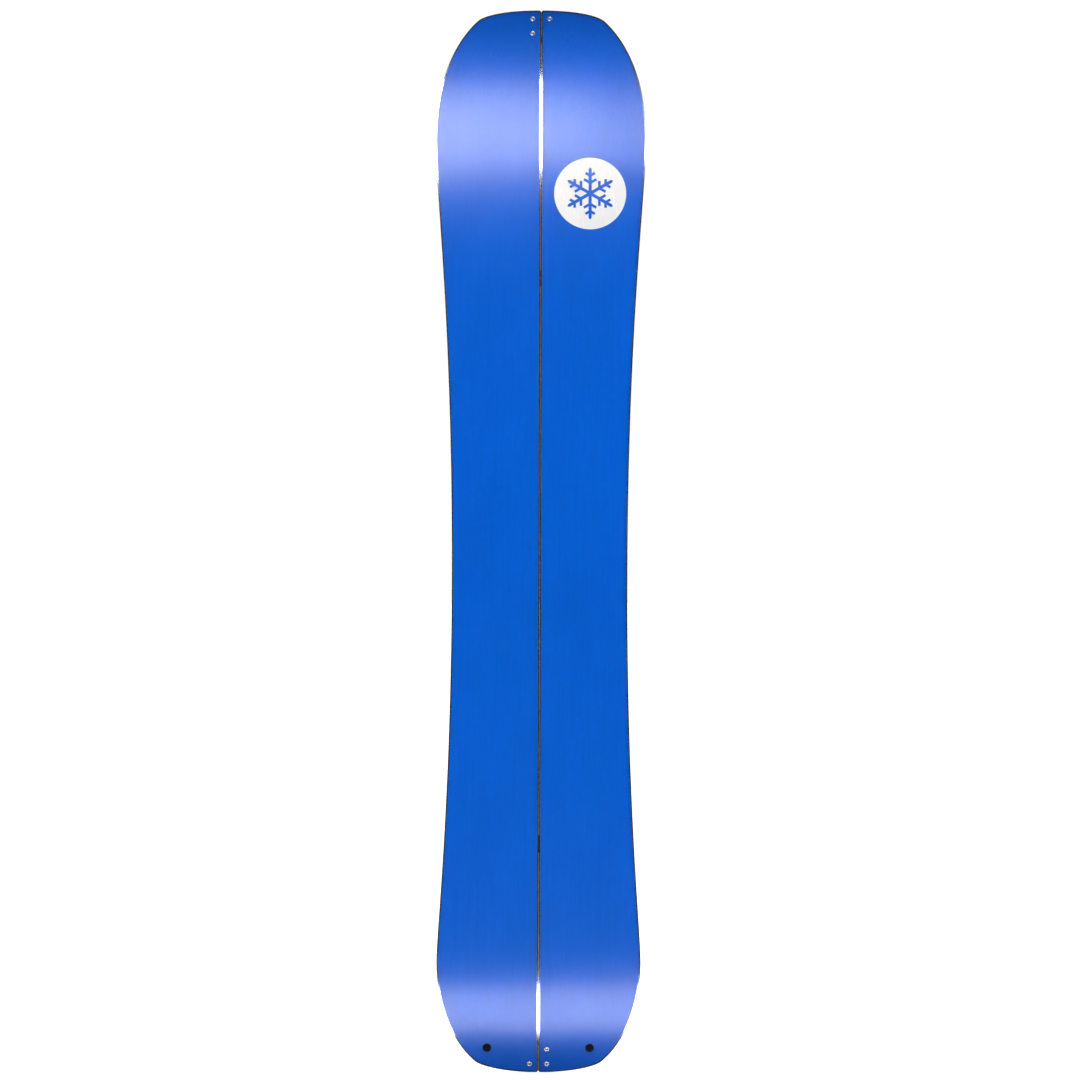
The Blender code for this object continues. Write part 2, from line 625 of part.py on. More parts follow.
def clip_stud(name, x, z, parent, collar_r, head_r, head_low, head_high):
    """Screw that stands up from a T-nut: shank in the bore, collar through the lever's plane, head above it.
    A headed stud also has a broad foot that fills the space under the lever."""
    shank, root, foot = TNUT_BORE_R - 0.3 * MM, TIP_TOP + 0.2 * MM, LEVER_LOW - 0.3 * MM
    stem = [(shank, root), (shank, 1.9 * MM), (0, 1.9 * MM)]
    if head_r > collar_r:
        profile = [(0, head_high), (head_r - 1.2 * MM, head_high), (head_r, head_high - 0.8 * MM), (head_r, head_low),
                   (collar_r, head_low), (collar_r, foot), (FOOT_R, foot), (FOOT_R, root)] + stem
    else:
        profile = [(0, head_high), (collar_r - 1.0 * MM, head_high), (collar_r, head_high - 0.8 * MM), (collar_r, root)] + stem
    finish(turned(name, profile, seat(x, z), 12), "screw", parent, 35)


LEVER_LOW = TIP_TOP + 1.6 * MM   # clears the curved topsheet under the parked lever's far end
LEVER_HIGH = LEVER_LOW + LEVER_T


def lever_frame(x, z, sign, angle):
    """Frame of a lever: origin on its pivot at the base surface, X along the lever, Z along the joint axis,
    which points out of the base, so a positive turn closes the lever onto its catch."""
    surface = seat(x, z)
    across, down, normal = (surface.col[k].to_3d() for k in range(3))
    along, side = across * sign, down * -sign
    frame = Matrix((along, side, -normal)).transposed().to_4x4()
    frame.translation = surface.translation
    return frame @ Matrix.Rotation(angle, 4, "Z")


def polar(r, degrees):
    return Vector((r * cos(radians(degrees)), r * sin(radians(degrees))))


def clip_lever(name, x, z, sign, stop_z, body):
    frame = lever_frame(x, z, sign, -CLIP_PARK)
    low, high = -LEVER_HIGH, -LEVER_LOW
    lever = plate(name, [circle(0, 0, 6.4 * MM, 20)], low, high, frame)
    arm = plate("arm", [[Vector((0, -4.6 * MM)), Vector((25 * MM, -5.2 * MM)), Vector((25 * MM, 5.2 * MM)), Vector((0, 4.6 * MM))]], low, high, frame)
    hook = plate("hook", [circle(CLIP_REACH, 0, 6.7 * MM, 20, 0.1)], low, high, frame)
    tab = plate("tab", [[Vector((28 * MM, -4.2 * MM)), Vector((34 * MM, -3.4 * MM)), Vector((36 * MM, -1.4 * MM)),
                         Vector((36 * MM, 1.4 * MM)), Vector((34 * MM, 3.4 * MM)), Vector((28 * MM, 4.2 * MM))]], low, high, frame)
    combine(lever, [arm, hook, tab], "UNION")
    deep_low, deep_high = low - 1 * MM, high + 1 * MM
    bore = plate("bore", [circle(0, 0, 2.8 * MM, 16, 0.05)], deep_low, deep_high, frame)
    inner, outer = CLIP_REACH - 3.3 * MM, CLIP_REACH + 3.3 * MM
    mouth_arc = [polar(inner, a) for a in (-1, 4, 8, 12, 16, 20)] + [polar(outer, a) for a in (20, 16, 12, 8, 4, -1)]
    mouth = plate("mouth", [mouth_arc], deep_low, deep_high, frame)
    slot = plate("slot", [circle(CLIP_REACH, 0, 3.31 * MM, 20, 0.03)], deep_low, deep_high, frame)
    rest = frame.inverted() @ (seat(x, stop_z) @ Vector((0, 0, LEVER_LOW + LEVER_T / 2)))     # the stop stud's axis
    nest = plate("nest", [circle(rest.x, rest.y, 3.4 * MM, 20, 0.07)], deep_low, deep_high, frame)
    combine(lever, [bore, slot, mouth, nest], "DIFFERENCE")
    finish(lever, "lever", body)


nose_z, tail_z = LENGTH - CLIP_END, CLIP_END
left, right = HALVES["left"], HALVES["right"]
for end, pivot_side, z, inward in (("nose", "left", nose_z, -1), ("tail", "right", tail_z, 1)):
    sign = -SIDES[pivot_side]               # the closed lever points across the seam
    catch_side = "right" if pivot_side == "left" else "left"
    px, cx = SIDES[pivot_side] * CLIP_X, SIDES[catch_side] * CLIP_X
    own, other = HALVES[pivot_side], HALVES[catch_side]
    t_nut(f"{end}_pivot_t_nut", px, z, own)
    t_nut(f"{end}_stop_t_nut", px, z + inward * CLIP_PITCH, own)
    t_nut(f"{end}_catch_t_nut", cx, z, other)
    head = LEVER_HIGH + 0.3 * MM
    clip_stud(f"{end}_clip_pivot_bolt", px, z, own, 2.5 * MM, 5.0 * MM, head, head + 2.0 * MM)
    clip_stud(f"{end}_clip_catch_post", cx, z, other, 3.0 * MM, 5.0 * MM, head, head + 2.0 * MM)
    clip_stud(f"{end}_clip_stop_stud", px, z + inward * CLIP_PITCH, own, 3.0 * MM, 0.0, head, LEVER_HIGH + 0.6 * MM)
    axis = pivot(f"{end}_clip_pivot", lever_frame(px, z, sign, 0.0), own)
    clip_lever(f"{end}_clip_lever", px, z, sign, z + inward * CLIP_PITCH, axis)


# ================================================================ alignment hooks across the seam
def hook_loop(side):
    """L-shaped plate: screw block on its own half, tongue reaching over the other half's topsheet."""
    block_in, block_out, reach, half = 14 * MM, 26 * MM, 12 * MM, 14 * MM
    tongue_low, tongue_high = 0.4 * MM, 12 * MM
    loop = [Vector((-block_out, -half + 2 * MM)), Vector((-block_out + 2 * MM, -half)), Vector((-block_in, -half)),
            Vector((-block_in, tongue_low)), Vector((reach - 2 * MM, tongue_low)), Vector((reach, tongue_low + 2 * MM)),
            Vector((reach, tongue_high - 2 * MM)), Vector((reach - 2 * MM, tongue_high)), Vector((-block_in, tongue_high)),
            Vector((-block_in, half)), Vector((-block_out + 2 * MM, half)), Vector((-block_out, half - 2 * MM))]
    return [Vector((p.x * -side, p.y * -side)) for p in loop]


for place, z in zip(("rear", "front"), HOOK_Z):
    surface = seat(0, z)
    top = top_height(z) + 0.2 * MM
    for name, side in SIDES.items():
        holes = [circle(side * 20 * MM, d, 1.9 * MM, 10) for d in (-8 * MM, 8 * MM)]
        flip = 1 if place == "front" else -1
        loop = [Vector((p.x, p.y * flip)) for p in hook_loop(side)]
        hook = plate(f"{name}_{place}_hook", [loop] + holes, top, top + 2 * MM, surface)
        finish(hook, "hook", HALVES[name])
        for number, d in enumerate((-8 * MM, 8 * MM), 1):
            frame = seat(side * 20 * MM, z - d)
            head = top + 2.2 * MM
            profile = [(0, head + 1.5 * MM), (2.3 * MM, head + 1.5 * MM), (3.4 * MM, head + 0.7 * MM), (3.4 * MM, head),
                       (1.5 * MM, head), (1.5 * MM, 3.8 * MM), (0, 3.8 * MM)]
            screw = turned(f"{name}_{place}_hook_screw_{number}", profile, frame, 10)
            finish(screw, "screw", HALVES[name], 35)


# ================================================================ origin: on the floor line, under the middle of the box
bpy.context.view_layer.update()
graph = bpy.context.evaluated_depsgraph_get()
corners = []
for obj in PARTS.objects:
    if obj.type == "MESH":
        seen = obj.evaluated_get(graph)
        corners += [seen.matrix_world @ v.co for v in seen.data.vertices]
middle_x = (min(c.x for c in corners) + max(c.x for c in corners)) / 2
middle_y = (min(c.y for c in corners) + max(c.y for c in corners)) / 2
BOARD.location = (-middle_x, -middle_y, -min(c.z for c in corners))
bpy.context.view_layer.update()
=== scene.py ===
from math import atan2, ceil, cos, pi, radians, sin, sqrt, tan

import bmesh
import bpy
import numpy as np
from mathutils import Matrix, Vector


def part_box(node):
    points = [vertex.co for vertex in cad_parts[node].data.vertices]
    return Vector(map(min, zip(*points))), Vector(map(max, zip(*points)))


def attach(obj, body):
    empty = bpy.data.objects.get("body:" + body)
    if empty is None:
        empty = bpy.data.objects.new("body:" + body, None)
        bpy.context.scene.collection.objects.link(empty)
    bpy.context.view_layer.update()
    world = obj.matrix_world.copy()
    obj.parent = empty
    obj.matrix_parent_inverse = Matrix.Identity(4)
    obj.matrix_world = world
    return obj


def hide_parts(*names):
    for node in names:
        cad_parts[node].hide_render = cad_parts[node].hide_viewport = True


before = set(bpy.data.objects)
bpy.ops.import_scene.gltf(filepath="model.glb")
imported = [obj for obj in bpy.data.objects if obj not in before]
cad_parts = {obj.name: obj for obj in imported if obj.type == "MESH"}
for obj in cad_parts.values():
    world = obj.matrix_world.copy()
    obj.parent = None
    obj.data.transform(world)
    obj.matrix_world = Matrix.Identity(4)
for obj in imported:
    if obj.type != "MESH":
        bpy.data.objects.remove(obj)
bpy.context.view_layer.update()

MM = 0.001

# =====================================================================================
# Shape of the board: the same plan curves, side profile and layer heights as the solids
# =====================================================================================
LENGTH = 1556 * MM
WAIST_HALF, WAIST_Z = 128 * MM, 728 * MM
NOSE_HALF, NOSE_REACH = 154.1 * MM, 193 * MM
TAIL_HALF, TAIL_REACH = 148.9 * MM, 162 * MM
NOSE_SHOULDER, TAIL_SHOULDER = (93.6 * MM, 17.0 * MM), (92.6 * MM, 16.6 * MM)
NOSE_SHOULDER_DIR, TAIL_SHOULDER_DIR = 0.76, 0.72
SEAM_HALF, SEAM_CORNER = 0.3 * MM, 3.5 * MM
SEAM_FACE = 0.04 * MM            # the drawn halves all but touch when joined
SEAM_TRIM = 0.5 * MM             # topsheet cut back along the seam
OUTLINE_LOW = 0.1155 * MM        # lowest point of the tail corners above the drawing's origin
NOSE_BEND, TAIL_BEND = 1140 * MM, 212 * MM
TIP_ANGLE, NOSE_CURL, TAIL_CURL, CAMBER = radians(19), 1.32, 1.62, 4 * MM
LAYER_GAP, BASE_T, LAMINATE_T, CORE_T, TIP_T, TOPSHEET_T = 0.2 * MM, 1.6 * MM, 0.5 * MM, 5.6 * MM, 1.6 * MM, 0.6 * MM
CORE_FULL = (310 * MM, 1185 * MM)
EDGE_W, SIDEWALL_W, INNER_SIDEWALL_W, SHELL_INSET = 2.0 * MM, 8.0 * MM, 6.0 * MM, 0.3 * MM
SEAM_W = SEAM_HALF - SEAM_FACE + EDGE_W      # steel along the seam
NOSE_SPACER, TAIL_SPACER = 92 * MM, 72 * MM
JOIN = 0.06 * MM                 # hairline left between neighbouring pieces

W_BASE = (0.0, BASE_T)
W_LOWER = (W_BASE[1] + LAYER_GAP, W_BASE[1] + LAYER_GAP + LAMINATE_T)
W_CORE = (W_LOWER[1] + LAYER_GAP, W_LOWER[1] + LAYER_GAP + CORE_T)
W_UPPER = (W_CORE[1] + LAYER_GAP, W_CORE[1] + LAYER_GAP + LAMINATE_T)
W_TOP = (W_UPPER[1] + LAYER_GAP, W_UPPER[1] + LAYER_GAP + TOPSHEET_T)
TIP_TOP = W_TOP[1] - CORE_T + TIP_T

CLIP_X, CLIP_END, CLIP_PITCH = 12.5 * MM, 12.5 * MM, 22 * MM
CLIP_REACH, CLIP_PARK, LEVER_T = 2 * CLIP_X, radians(70), 3.0 * MM
TNUT_R, TNUT_BARREL_R, TNUT_BORE_R = 3.75 * MM, 2.9 * MM, 1.9 * MM
SOCKET_X, SOCKET_Z, SOCKET_R = 75 * MM, 36.5 * MM, 6.4 * MM
INLAY_X, INLAY_Z, INLAY_R = 72 * MM, 1284 * MM, 52.5 * MM
HOOK_Z = (334 * MM, 1160 * MM)
RAIL_X, RAIL_LEN, RAIL_W, RAIL_Z = 30 * MM, 220 * MM, 16 * MM, (470 * MM, 1020 * MM)
STRIP_X = 66 * MM
STRIPS = {"touring_insert_strip": (800 * MM, 30 * MM, 3), "heel_insert_strip": (515 * MM, 40 * MM, 2)}
BOSS_R, BOSS_BORE_R = 4.5 * MM, 2.6 * MM
SIDES = {"right": 1, "left": -1}


def smooth(t):
    t = min(max(t, 0.0), 1.0)
    return t * t * (3 - 2 * t)


def rise_angle(z):
    if z >= NOSE_BEND:
        return TIP_ANGLE * ((z - NOSE_BEND) / (LENGTH - NOSE_BEND)) ** NOSE_CURL
    if z <= TAIL_BEND:
        return -TIP_ANGLE * ((TAIL_BEND - z) / TAIL_BEND) ** TAIL_CURL
    span = NOSE_BEND - TAIL_BEND
    return CAMBER * pi / span * sin(2 * pi * (z - TAIL_BEND) / span)


def spaced(a, b, step):
    n = max(1, ceil(abs(b - a) / step))
    return [a + (b - a) * i / n for i in range(n)]


def stations(bend_step, flat_step):
    return sorted(
        [-1 * MM]
        + spaced(0.4 * MM, TAIL_BEND, bend_step)
        + spaced(TAIL_BEND, CORE_FULL[0], flat_step)
        + spaced(CORE_FULL[0], NOSE_BEND, flat_step)
        + spaced(NOSE_BEND, LENGTH, bend_step)
        + [LENGTH + 1 * MM]
    )


FINE = stations(4 * MM, 20 * MM)
PLAIN = stations(13 * MM, 60 * MM)

# side profile sampled once, finely; everything is placed on it by interpolation
GRID = np.arange(-0.002, LENGTH + 0.002, 0.5 * MM)
_slopes = np.array([rise_angle(z) for z in GRID])
_heights = np.concatenate([[0], np.cumsum(np.tan((_slopes[1:] + _slopes[:-1]) / 2) * np.diff(GRID))])
_heights -= np.interp(TAIL_BEND, GRID, _heights)


def core_share(z):
    if z > CORE_FULL[1]:
        t = smooth((z - CORE_FULL[1]) / (LENGTH - NOSE_SPACER - CORE_FULL[1]))
    elif z < CORE_FULL[0]:
        t = smooth((CORE_FULL[0] - z) / (CORE_FULL[0] - TAIL_SPACER))
    else:
        t = 0.0
    return (CORE_T + (TIP_T - CORE_T) * t) / CORE_T


_shares = np.array([core_share(z) for z in GRID])


# =====================================================================================
# Plan outline
# =====================================================================================
def bezier(p, t):
    a, b, c, d = (1 - t) ** 3, 3 * (1 - t) ** 2 * t, 3 * (1 - t) * t * t, t ** 3
    return Vector(tuple(a * p[0][k] + b * p[1][k] + c * p[2][k] + d * p[3][k] for k in (0, 1)))


def bezier_tangent(p, t):
    a, b, c = 3 * (1 - t) ** 2, 6 * (1 - t) * t, 3 * t * t
    return Vector(tuple(
        a * (p[1][k] - p[0][k]) + b * (p[2][k] - p[1][k]) + c * (p[3][k] - p[2][k]) for k in (0, 1)
    )).normalized()


def tip_segments(half, reach, shoulder, direction, handles):
    out, corner = Vector((cos(direction), sin(direction))), Vector(shoulder)
    across, into, beyond, side = handles
    return [
        [Vector((0, 0)), Vector((across, 0)), corner - out * into, corner],
        [corner, corner + out * beyond, Vector((half, reach - side)), Vector((half, reach))],
    ]


def outline_segments():
    tail = tip_segments(TAIL_HALF, TAIL_REACH, TAIL_SHOULDER, TAIL_SHOULDER_DIR,
                        (50.7 * MM, 11.0 * MM, 55.8 * MM, 46.0 * MM))
    nose = tip_segments(NOSE_HALF, NOSE_REACH, NOSE_SHOULDER, NOSE_SHOULDER_DIR,
                        (52.2 * MM, 13.8 * MM, 41.0 * MM, 92.0 * MM))
    nose_z = LENGTH - NOSE_REACH
    sidecut = [
        [Vector((TAIL_HALF, TAIL_REACH)), Vector((TAIL_HALF, TAIL_REACH + 48.9 * MM)),
         Vector((WAIST_HALF, WAIST_Z - 336 * MM)), Vector((WAIST_HALF, WAIST_Z))],
        [Vector((WAIST_HALF, WAIST_Z)), Vector((WAIST_HALF, WAIST_Z + 372 * MM)),
         Vector((NOSE_HALF, nose_z - 68.7 * MM)), Vector((NOSE_HALF, nose_z))],
    ]
    flipped = [[Vector((p[0], LENGTH - p[1])) for p in reversed(seg)] for seg in reversed(nose)]
    return tail + sidecut + flipped


SEGMENT_STEPS = (36, 44, 26, 30, 48, 40)

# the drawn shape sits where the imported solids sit, and ends where they end
_edge_low, _edge_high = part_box("right_outer_edge")
SHIFT_Y, SHIFT_Z = _edge_low.y, _edge_low.z - OUTLINE_LOW
Z_SPAN = (_edge_low.z - SHIFT_Z, _edge_high.z - SHIFT_Z)


def outer_path(inset):
    points = []
    segments = outline_segments()
    for seg, steps in zip(segments, SEGMENT_STEPS):
        points += [(seg, i / steps) for i in range(steps)]
    points.append((segments[-1], 1.0))
    moved = []
    for seg, t in points:
        p, d = bezier(seg, t), bezier_tangent(seg, t)
        moved.append(Vector((p.x - d.y * inset, min(max(p.y + d.x * inset, Z_SPAN[0]), Z_SPAN[1]))))
    return moved


def cut_at_x(points, x):
    keep = [i for i, p in enumerate(points) if p.x > x + 0.05 * MM]
    first, last = keep[0], keep[-1]
    ends = []
    for inner, outer in ((points[first - 1], points[first]), (points[last + 1], points[last])):
        t = (x - inner.x) / (outer.x - inner.x)
        ends.append(inner + (outer - inner) * t)
    return [ends[0]] + points[first:last + 1] + [ends[1]]


def cut_at_z(points, low, high):
    keep = [i for i, p in enumerate(points) if low + 0.05 * MM < p.y < high - 0.05 * MM]
    first, last = keep[0], keep[-1]
    result = list(points[first:last + 1])
    for outside, inside, z, at_start in (
        (points[first - 1], points[first], low, True), (points[last + 1], points[last], high, False),
    ):
        t = (z - outside.y) / (inside.y - outside.y)
        p = outside + (inside - outside) * t
        result = [p] + result if at_start else result + [p]
    return result


def seam_arc(x, z, radius, end, steps=8):
    centre = Vector((x + radius, z - end * radius))
    return [centre + radius * Vector((-cos(i * pi / 2 / steps), end * sin(i * pi / 2 / steps)))
            for i in range(steps + 1)]


def half_outline(inset, seam_inset):
    x = SEAM_FACE + seam_inset
    radius = max(SEAM_CORNER - inset, 0.0)
    path = cut_at_x(outer_path(inset), x + radius)
    if radius <= 0:
        return path
    tail = seam_arc(x, path[0].y, radius, -1)
    nose = seam_arc(x, path[-1].y, radius, +1)
    return tail[:-1] + path + nose[:-1][::-1]


def circle(x, z, r, n=40, start=0.0):
    return [Vector((x + r * cos(start + 2 * pi * i / n), z + r * sin(start + 2 * pi * i / n))) for i in range(n)]


def stadium(x, z, length, width, n=16):
    r, half = width / 2, (length - width) / 2
    up = [Vector((x + r * cos(pi * i / n), z + half + r * sin(pi * i / n))) for i in range(n + 1)]
    down = [Vector((x - r * cos(pi * i / n), z - half - r * sin(pi * i / n))) for i in range(n + 1)]
    return up + down


def rectangle(x0, x1, z0, z1):
    return [Vector((x0, z0)), Vector((x1, z0)), Vector((x1, z1)), Vector((x0, z1))]


def mirrored(loops, side):
    return [[Vector((p.x * side, p.y)) for p in loop] for loop in loops]




def board_points(co):
    """Rows of x (across), w (height above the base), z (along) to their places on the pressed board."""
    x, w, z = co[:, 0], co[:, 1].copy(), co[:, 2]
    share = np.interp(z, GRID, _shares)
    inside = (w > W_CORE[0]) & (w <= W_CORE[1])
    above = w > W_CORE[1]
    w[inside] = W_CORE[0] + (w[inside] - W_CORE[0]) * share[inside]
    w[above] = w[above] - CORE_T * (1 - share[above])
    slope, y = np.interp(z, GRID, _slopes), np.interp(z, GRID, _heights)
    return np.stack([x, y + w * np.cos(slope) + SHIFT_Y, z - w * np.sin(slope) + SHIFT_Z], axis=1)


def top_height(z):
    return W_TOP[1] - CORE_T * (1 - float(np.interp(z, GRID, _shares)))


def seat(x, z, turn=0.0):
    """Frame on the base surface: X across, Z along the surface normal towards the topsheet."""
    rise = float(np.interp(z, GRID, _slopes))
    across, normal = Vector((1, 0, 0)), Vector((0, cos(rise), -sin(rise)))
    placed = Matrix((across, normal.cross(across), normal)).transposed().to_4x4()
    placed.translation = (x, float(np.interp(z, GRID, _heights)) + SHIFT_Y, z + SHIFT_Z)
    return placed @ Matrix.Rotation(turn, 4, "Z")


# =====================================================================================
# Mesh helpers
# =====================================================================================
def evaluated_mesh(obj):
    bpy.context.view_layer.update()
    return bpy.data.meshes.new_from_object(obj.evaluated_get(bpy.context.evaluated_depsgraph_get()))


def plate(name, loops, low, high, placed=None):
    """Flat outline with holes and a thickness, from a filled 2D curve. In the flat blank (placed None) the
    outline lies in X-Z and the height along Y; otherwise in the frame's X-Y plane and along its Z."""
    curve = bpy.data.curves.new(name, "CURVE")
    curve.dimensions, curve.fill_mode = "2D", "BOTH"
    curve.extrude = (high - low) / 2
    for loop in loops:
        spline = curve.splines.new("POLY")
        spline.points.add(len(loop) - 1)
        for point, p in zip(spline.points, loop):
            point.co = (p[0], p[1], 0, 1)
        spline.use_cyclic_u = True
    drawn = bpy.data.objects.new(name + "_outline", curve)
    bpy.context.scene.collection.objects.link(drawn)
    mesh = evaluated_mesh(drawn)
    bpy.data.objects.remove(drawn, do_unlink=True)
    bpy.data.curves.remove(curve)
    bm = bmesh.new()
    bm.from_mesh(mesh)
    bmesh.ops.remove_doubles(bm, verts=bm.verts, dist=0.000004)
    bmesh.ops.recalc_face_normals(bm, faces=bm.faces)
    if placed is None:
        lay = Matrix(((1, 0, 0, 0), (0, 0, -1, (low + high) / 2), (0, 1, 0, 0), (0, 0, 0, 1)))
        bmesh.ops.transform(bm, matrix=lay, verts=bm.verts)
    else:
        bmesh.ops.transform(bm, matrix=Matrix.Translation((0, 0, (low + high) / 2)), verts=bm.verts)
    bm.to_mesh(mesh)
    bm.free()
    mesh.name = name
    solid = bpy.data.objects.new(name, mesh)
    bpy.context.scene.collection.objects.link(solid)
    if placed is not None:
        solid.matrix_world = placed
    return solid


def combine(obj, others, operation):
    for other in others:
        modifier = obj.modifiers.new(operation.lower(), "BOOLEAN")
        modifier.operation, modifier.object = operation, other
        mesh = evaluated_mesh(obj)
        obj.modifiers.clear()
        old, obj.data = obj.data, mesh
        mesh.name = obj.name
        bpy.data.meshes.remove(old)
        bpy.data.objects.remove(other, do_unlink=True)
    return obj


def press(obj, cuts):
    """Cut the flat blank at every station and move it onto the board's profile."""
    bm = bmesh.new()
    bm.from_mesh(obj.data)
    low, high = min(v.co.z for v in bm.verts), max(v.co.z for v in bm.verts)
    for z in cuts:
        if low + 0.01 * MM < z < high - 0.01 * MM:
            bmesh.ops.bisect_plane(bm, geom=bm.verts[:] + bm.edges[:] + bm.faces[:], dist=0.000002,
                                   plane_co=(0, 0, z), plane_no=(0, 0, 1))
    marks = np.array(cuts)
    for face in bm.faces:
        face.material_index = int(np.searchsorted(marks, face.calc_center_median().z))
    bmesh.ops.dissolve_limit(bm, angle_limit=radians(0.02), use_dissolve_boundaries=False,
                             verts=bm.verts, edges=bm.edges, delimit={"MATERIAL"})
    for face in bm.faces:
        face.material_index = 0
    bmesh.ops.triangulate(bm, faces=bm.faces, quad_method="BEAUTY", ngon_method="BEAUTY")
    bm.to_mesh(obj.data)
    bm.free()
    co = np.empty(len(obj.data.vertices) * 3)
    obj.data.vertices.foreach_get("co", co)
    obj.data.vertices.foreach_set("co", board_points(co.reshape(-1, 3)).ravel())
    obj.data.update()
    return obj


def turned(name, profile, placed, steps=48, closed=False):
    """Solid of revolution about the frame's Z: radius and height pairs, top to bottom down the outside."""
    bm = bmesh.new()
    verts = [bm.verts.new((r, 0, h)) for r, h in profile]
    for a, b in zip(verts, verts[1:]):
        bm.edges.new((a, b))
    if closed:
        bm.edges.new((verts[-1], verts[0]))
    mesh = bpy.data.meshes.new(name)
    bm.to_mesh(mesh)
    bm.free()
    obj = bpy.data.objects.new(name, mesh)
    bpy.context.scene.collection.objects.link(obj)
    screw = obj.modifiers.new("turn", "SCREW")
    screw.axis, screw.angle = "Z", 2 * pi
    screw.steps = screw.render_steps = steps
    screw.use_merge_vertices, screw.merge_threshold = True, 0.000004
    screw.use_smooth_shade = False
    made = evaluated_mesh(obj)
    obj.modifiers.clear()
    obj.data = made
    bpy.data.meshes.remove(mesh)
    made.name = name
    bm = bmesh.new()
    bm.from_mesh(made)
    bmesh.ops.recalc_face_normals(bm, faces=bm.faces)
    bm.to_mesh(made)
    bm.free()
    obj.matrix_world = placed
    return obj


def bevelled(obj, width, segments=2, angle=35):
    bm = bmesh.new()
    bm.from_mesh(obj.data)
    bmesh.ops.dissolve_limit(bm, angle_limit=radians(0.5), verts=bm.verts, edges=bm.edges)
    bm.to_mesh(obj.data)
    bm.free()
    modifier = obj.modifiers.new("bevel", "BEVEL")
    modifier.width, modifier.segments = width, segments
    modifier.limit_method, modifier.angle_limit = "ANGLE", radians(angle)
    modifier.use_clamp_overlap = True
    mesh = evaluated_mesh(obj)
    obj.modifiers.clear()
    old, obj.data = obj.data, mesh
    bpy.data.meshes.remove(old)
    return obj


def settle(obj, body, mat, nodes, sharp=30):
    """Finish a piece: shading, material, the body it rides on and the solids it stands for."""
    obj.data.transform(obj.matrix_world)
    obj.matrix_world = Matrix.Identity(4)
    obj.data.materials.clear()
    obj.data.materials.append(mat)
    obj.data.shade_smooth()
    obj.data.set_sharp_from_angle(angle=radians(sharp))
    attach(obj, body)
    if nodes:
        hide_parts(*nodes)
    return obj


# =====================================================================================
# Materials
# =====================================================================================
class Shader:
    """Small wrapper round a node tree, so that each finish reads as a recipe."""

    def __init__(self, name):
        self.mat = bpy.data.materials.new(name)
        self.mat.use_nodes = True
        self.tree = self.mat.node_tree
        self.bsdf = self.tree.nodes["Principled BSDF"]
        self.coords = self.tree.nodes.new("ShaderNodeTexCoord").outputs["Object"]

    def link(self, a, b):
        self.tree.links.new(a, b)

    def node(self, kind, **values):
        node = self.tree.nodes.new(kind)
        for key, value in values.items():
            if hasattr(node, key):
                setattr(node, key, value)
            else:
                node.inputs[key].default_value = value
        return node

    def mapped(self, scale, offset=(0, 0, 0)):
        node = self.node("ShaderNodeMapping")
        node.inputs["Scale"].default_value = scale
        node.inputs["Location"].default_value = offset
        self.link(self.coords, node.inputs["Vector"])
        return node.outputs["Vector"]

    def noise(self, scale, stretch=(1, 1, 1), detail=3.0, rough=0.5, offset=(0, 0, 0)):
        node = self.node("ShaderNodeTexNoise")
        node.inputs["Scale"].default_value = scale
        node.inputs["Detail"].default_value = detail
        node.inputs["Roughness"].default_value = rough
        self.link(self.mapped(stretch, offset), node.inputs["Vector"])
        return node.outputs["Fac"]

    def ramp(self, fac, stops):
        node = self.node("ShaderNodeValToRGB")
        ramp = node.color_ramp
        while len(ramp.elements) < len(stops):
            ramp.elements.new(0.5)
        for element, (place, colour) in zip(ramp.elements, stops):
            element.position = place
            element.color = (*colour, 1) if len(colour) == 3 else colour
        self.link(fac, node.inputs["Fac"])
        return node.outputs["Color"]

    def spread(self, fac, low, high, from_low=0.3, from_high=0.7):
        node = self.node("ShaderNodeMapRange")
        for key, value in (("From Min", from_low), ("From Max", from_high), ("To Min", low), ("To Max", high)):
            node.inputs[key].default_value = value
        self.link(fac, node.inputs["Value"])
        return node.outputs["Result"]

    def mix(self, fac, a, b, kind="MIX"):
        node = self.node("ShaderNodeMix")
        node.data_type, node.blend_type = "RGBA", kind
        for socket, value in ((node.inputs[0], fac), (node.inputs[6], a), (node.inputs[7], b)):
            if hasattr(value, "links"):
                self.link(value, socket)
            elif isinstance(value, (int, float)):
                socket.default_value = value
            else:
                socket.default_value = (*value, 1)
        return node.outputs[2]

    def maths(self, kind, a, b=0.0):
        node = self.node("ShaderNodeMath")
        node.operation = kind
        for socket, value in ((node.inputs[0], a), (node.inputs[1], b)):
            if hasattr(value, "links"):
                self.link(value, socket)
            else:
                socket.default_value = value
        return node.outputs[0]

    def bump(self, height, strength, distance):
        node = self.node("ShaderNodeBump")
        node.inputs["Strength"].default_value = strength
        node.inputs["Distance"].default_value = distance
        self.link(height, node.inputs["Height"])
        self.link(node.outputs["Normal"], self.bsdf.inputs["Normal"])

    def set(self, **values):
        for key, value in values.items():
            socket = self.bsdf.inputs[key.replace("_", " ")]
            if hasattr(value, "links"):
                self.link(value, socket)
            elif isinstance(value, (tuple, list)):
                socket.default_value = (*value, 1) if len(value) == 3 and socket.type == "RGBA" else value
            else:
                socket.default_value = value
        return self


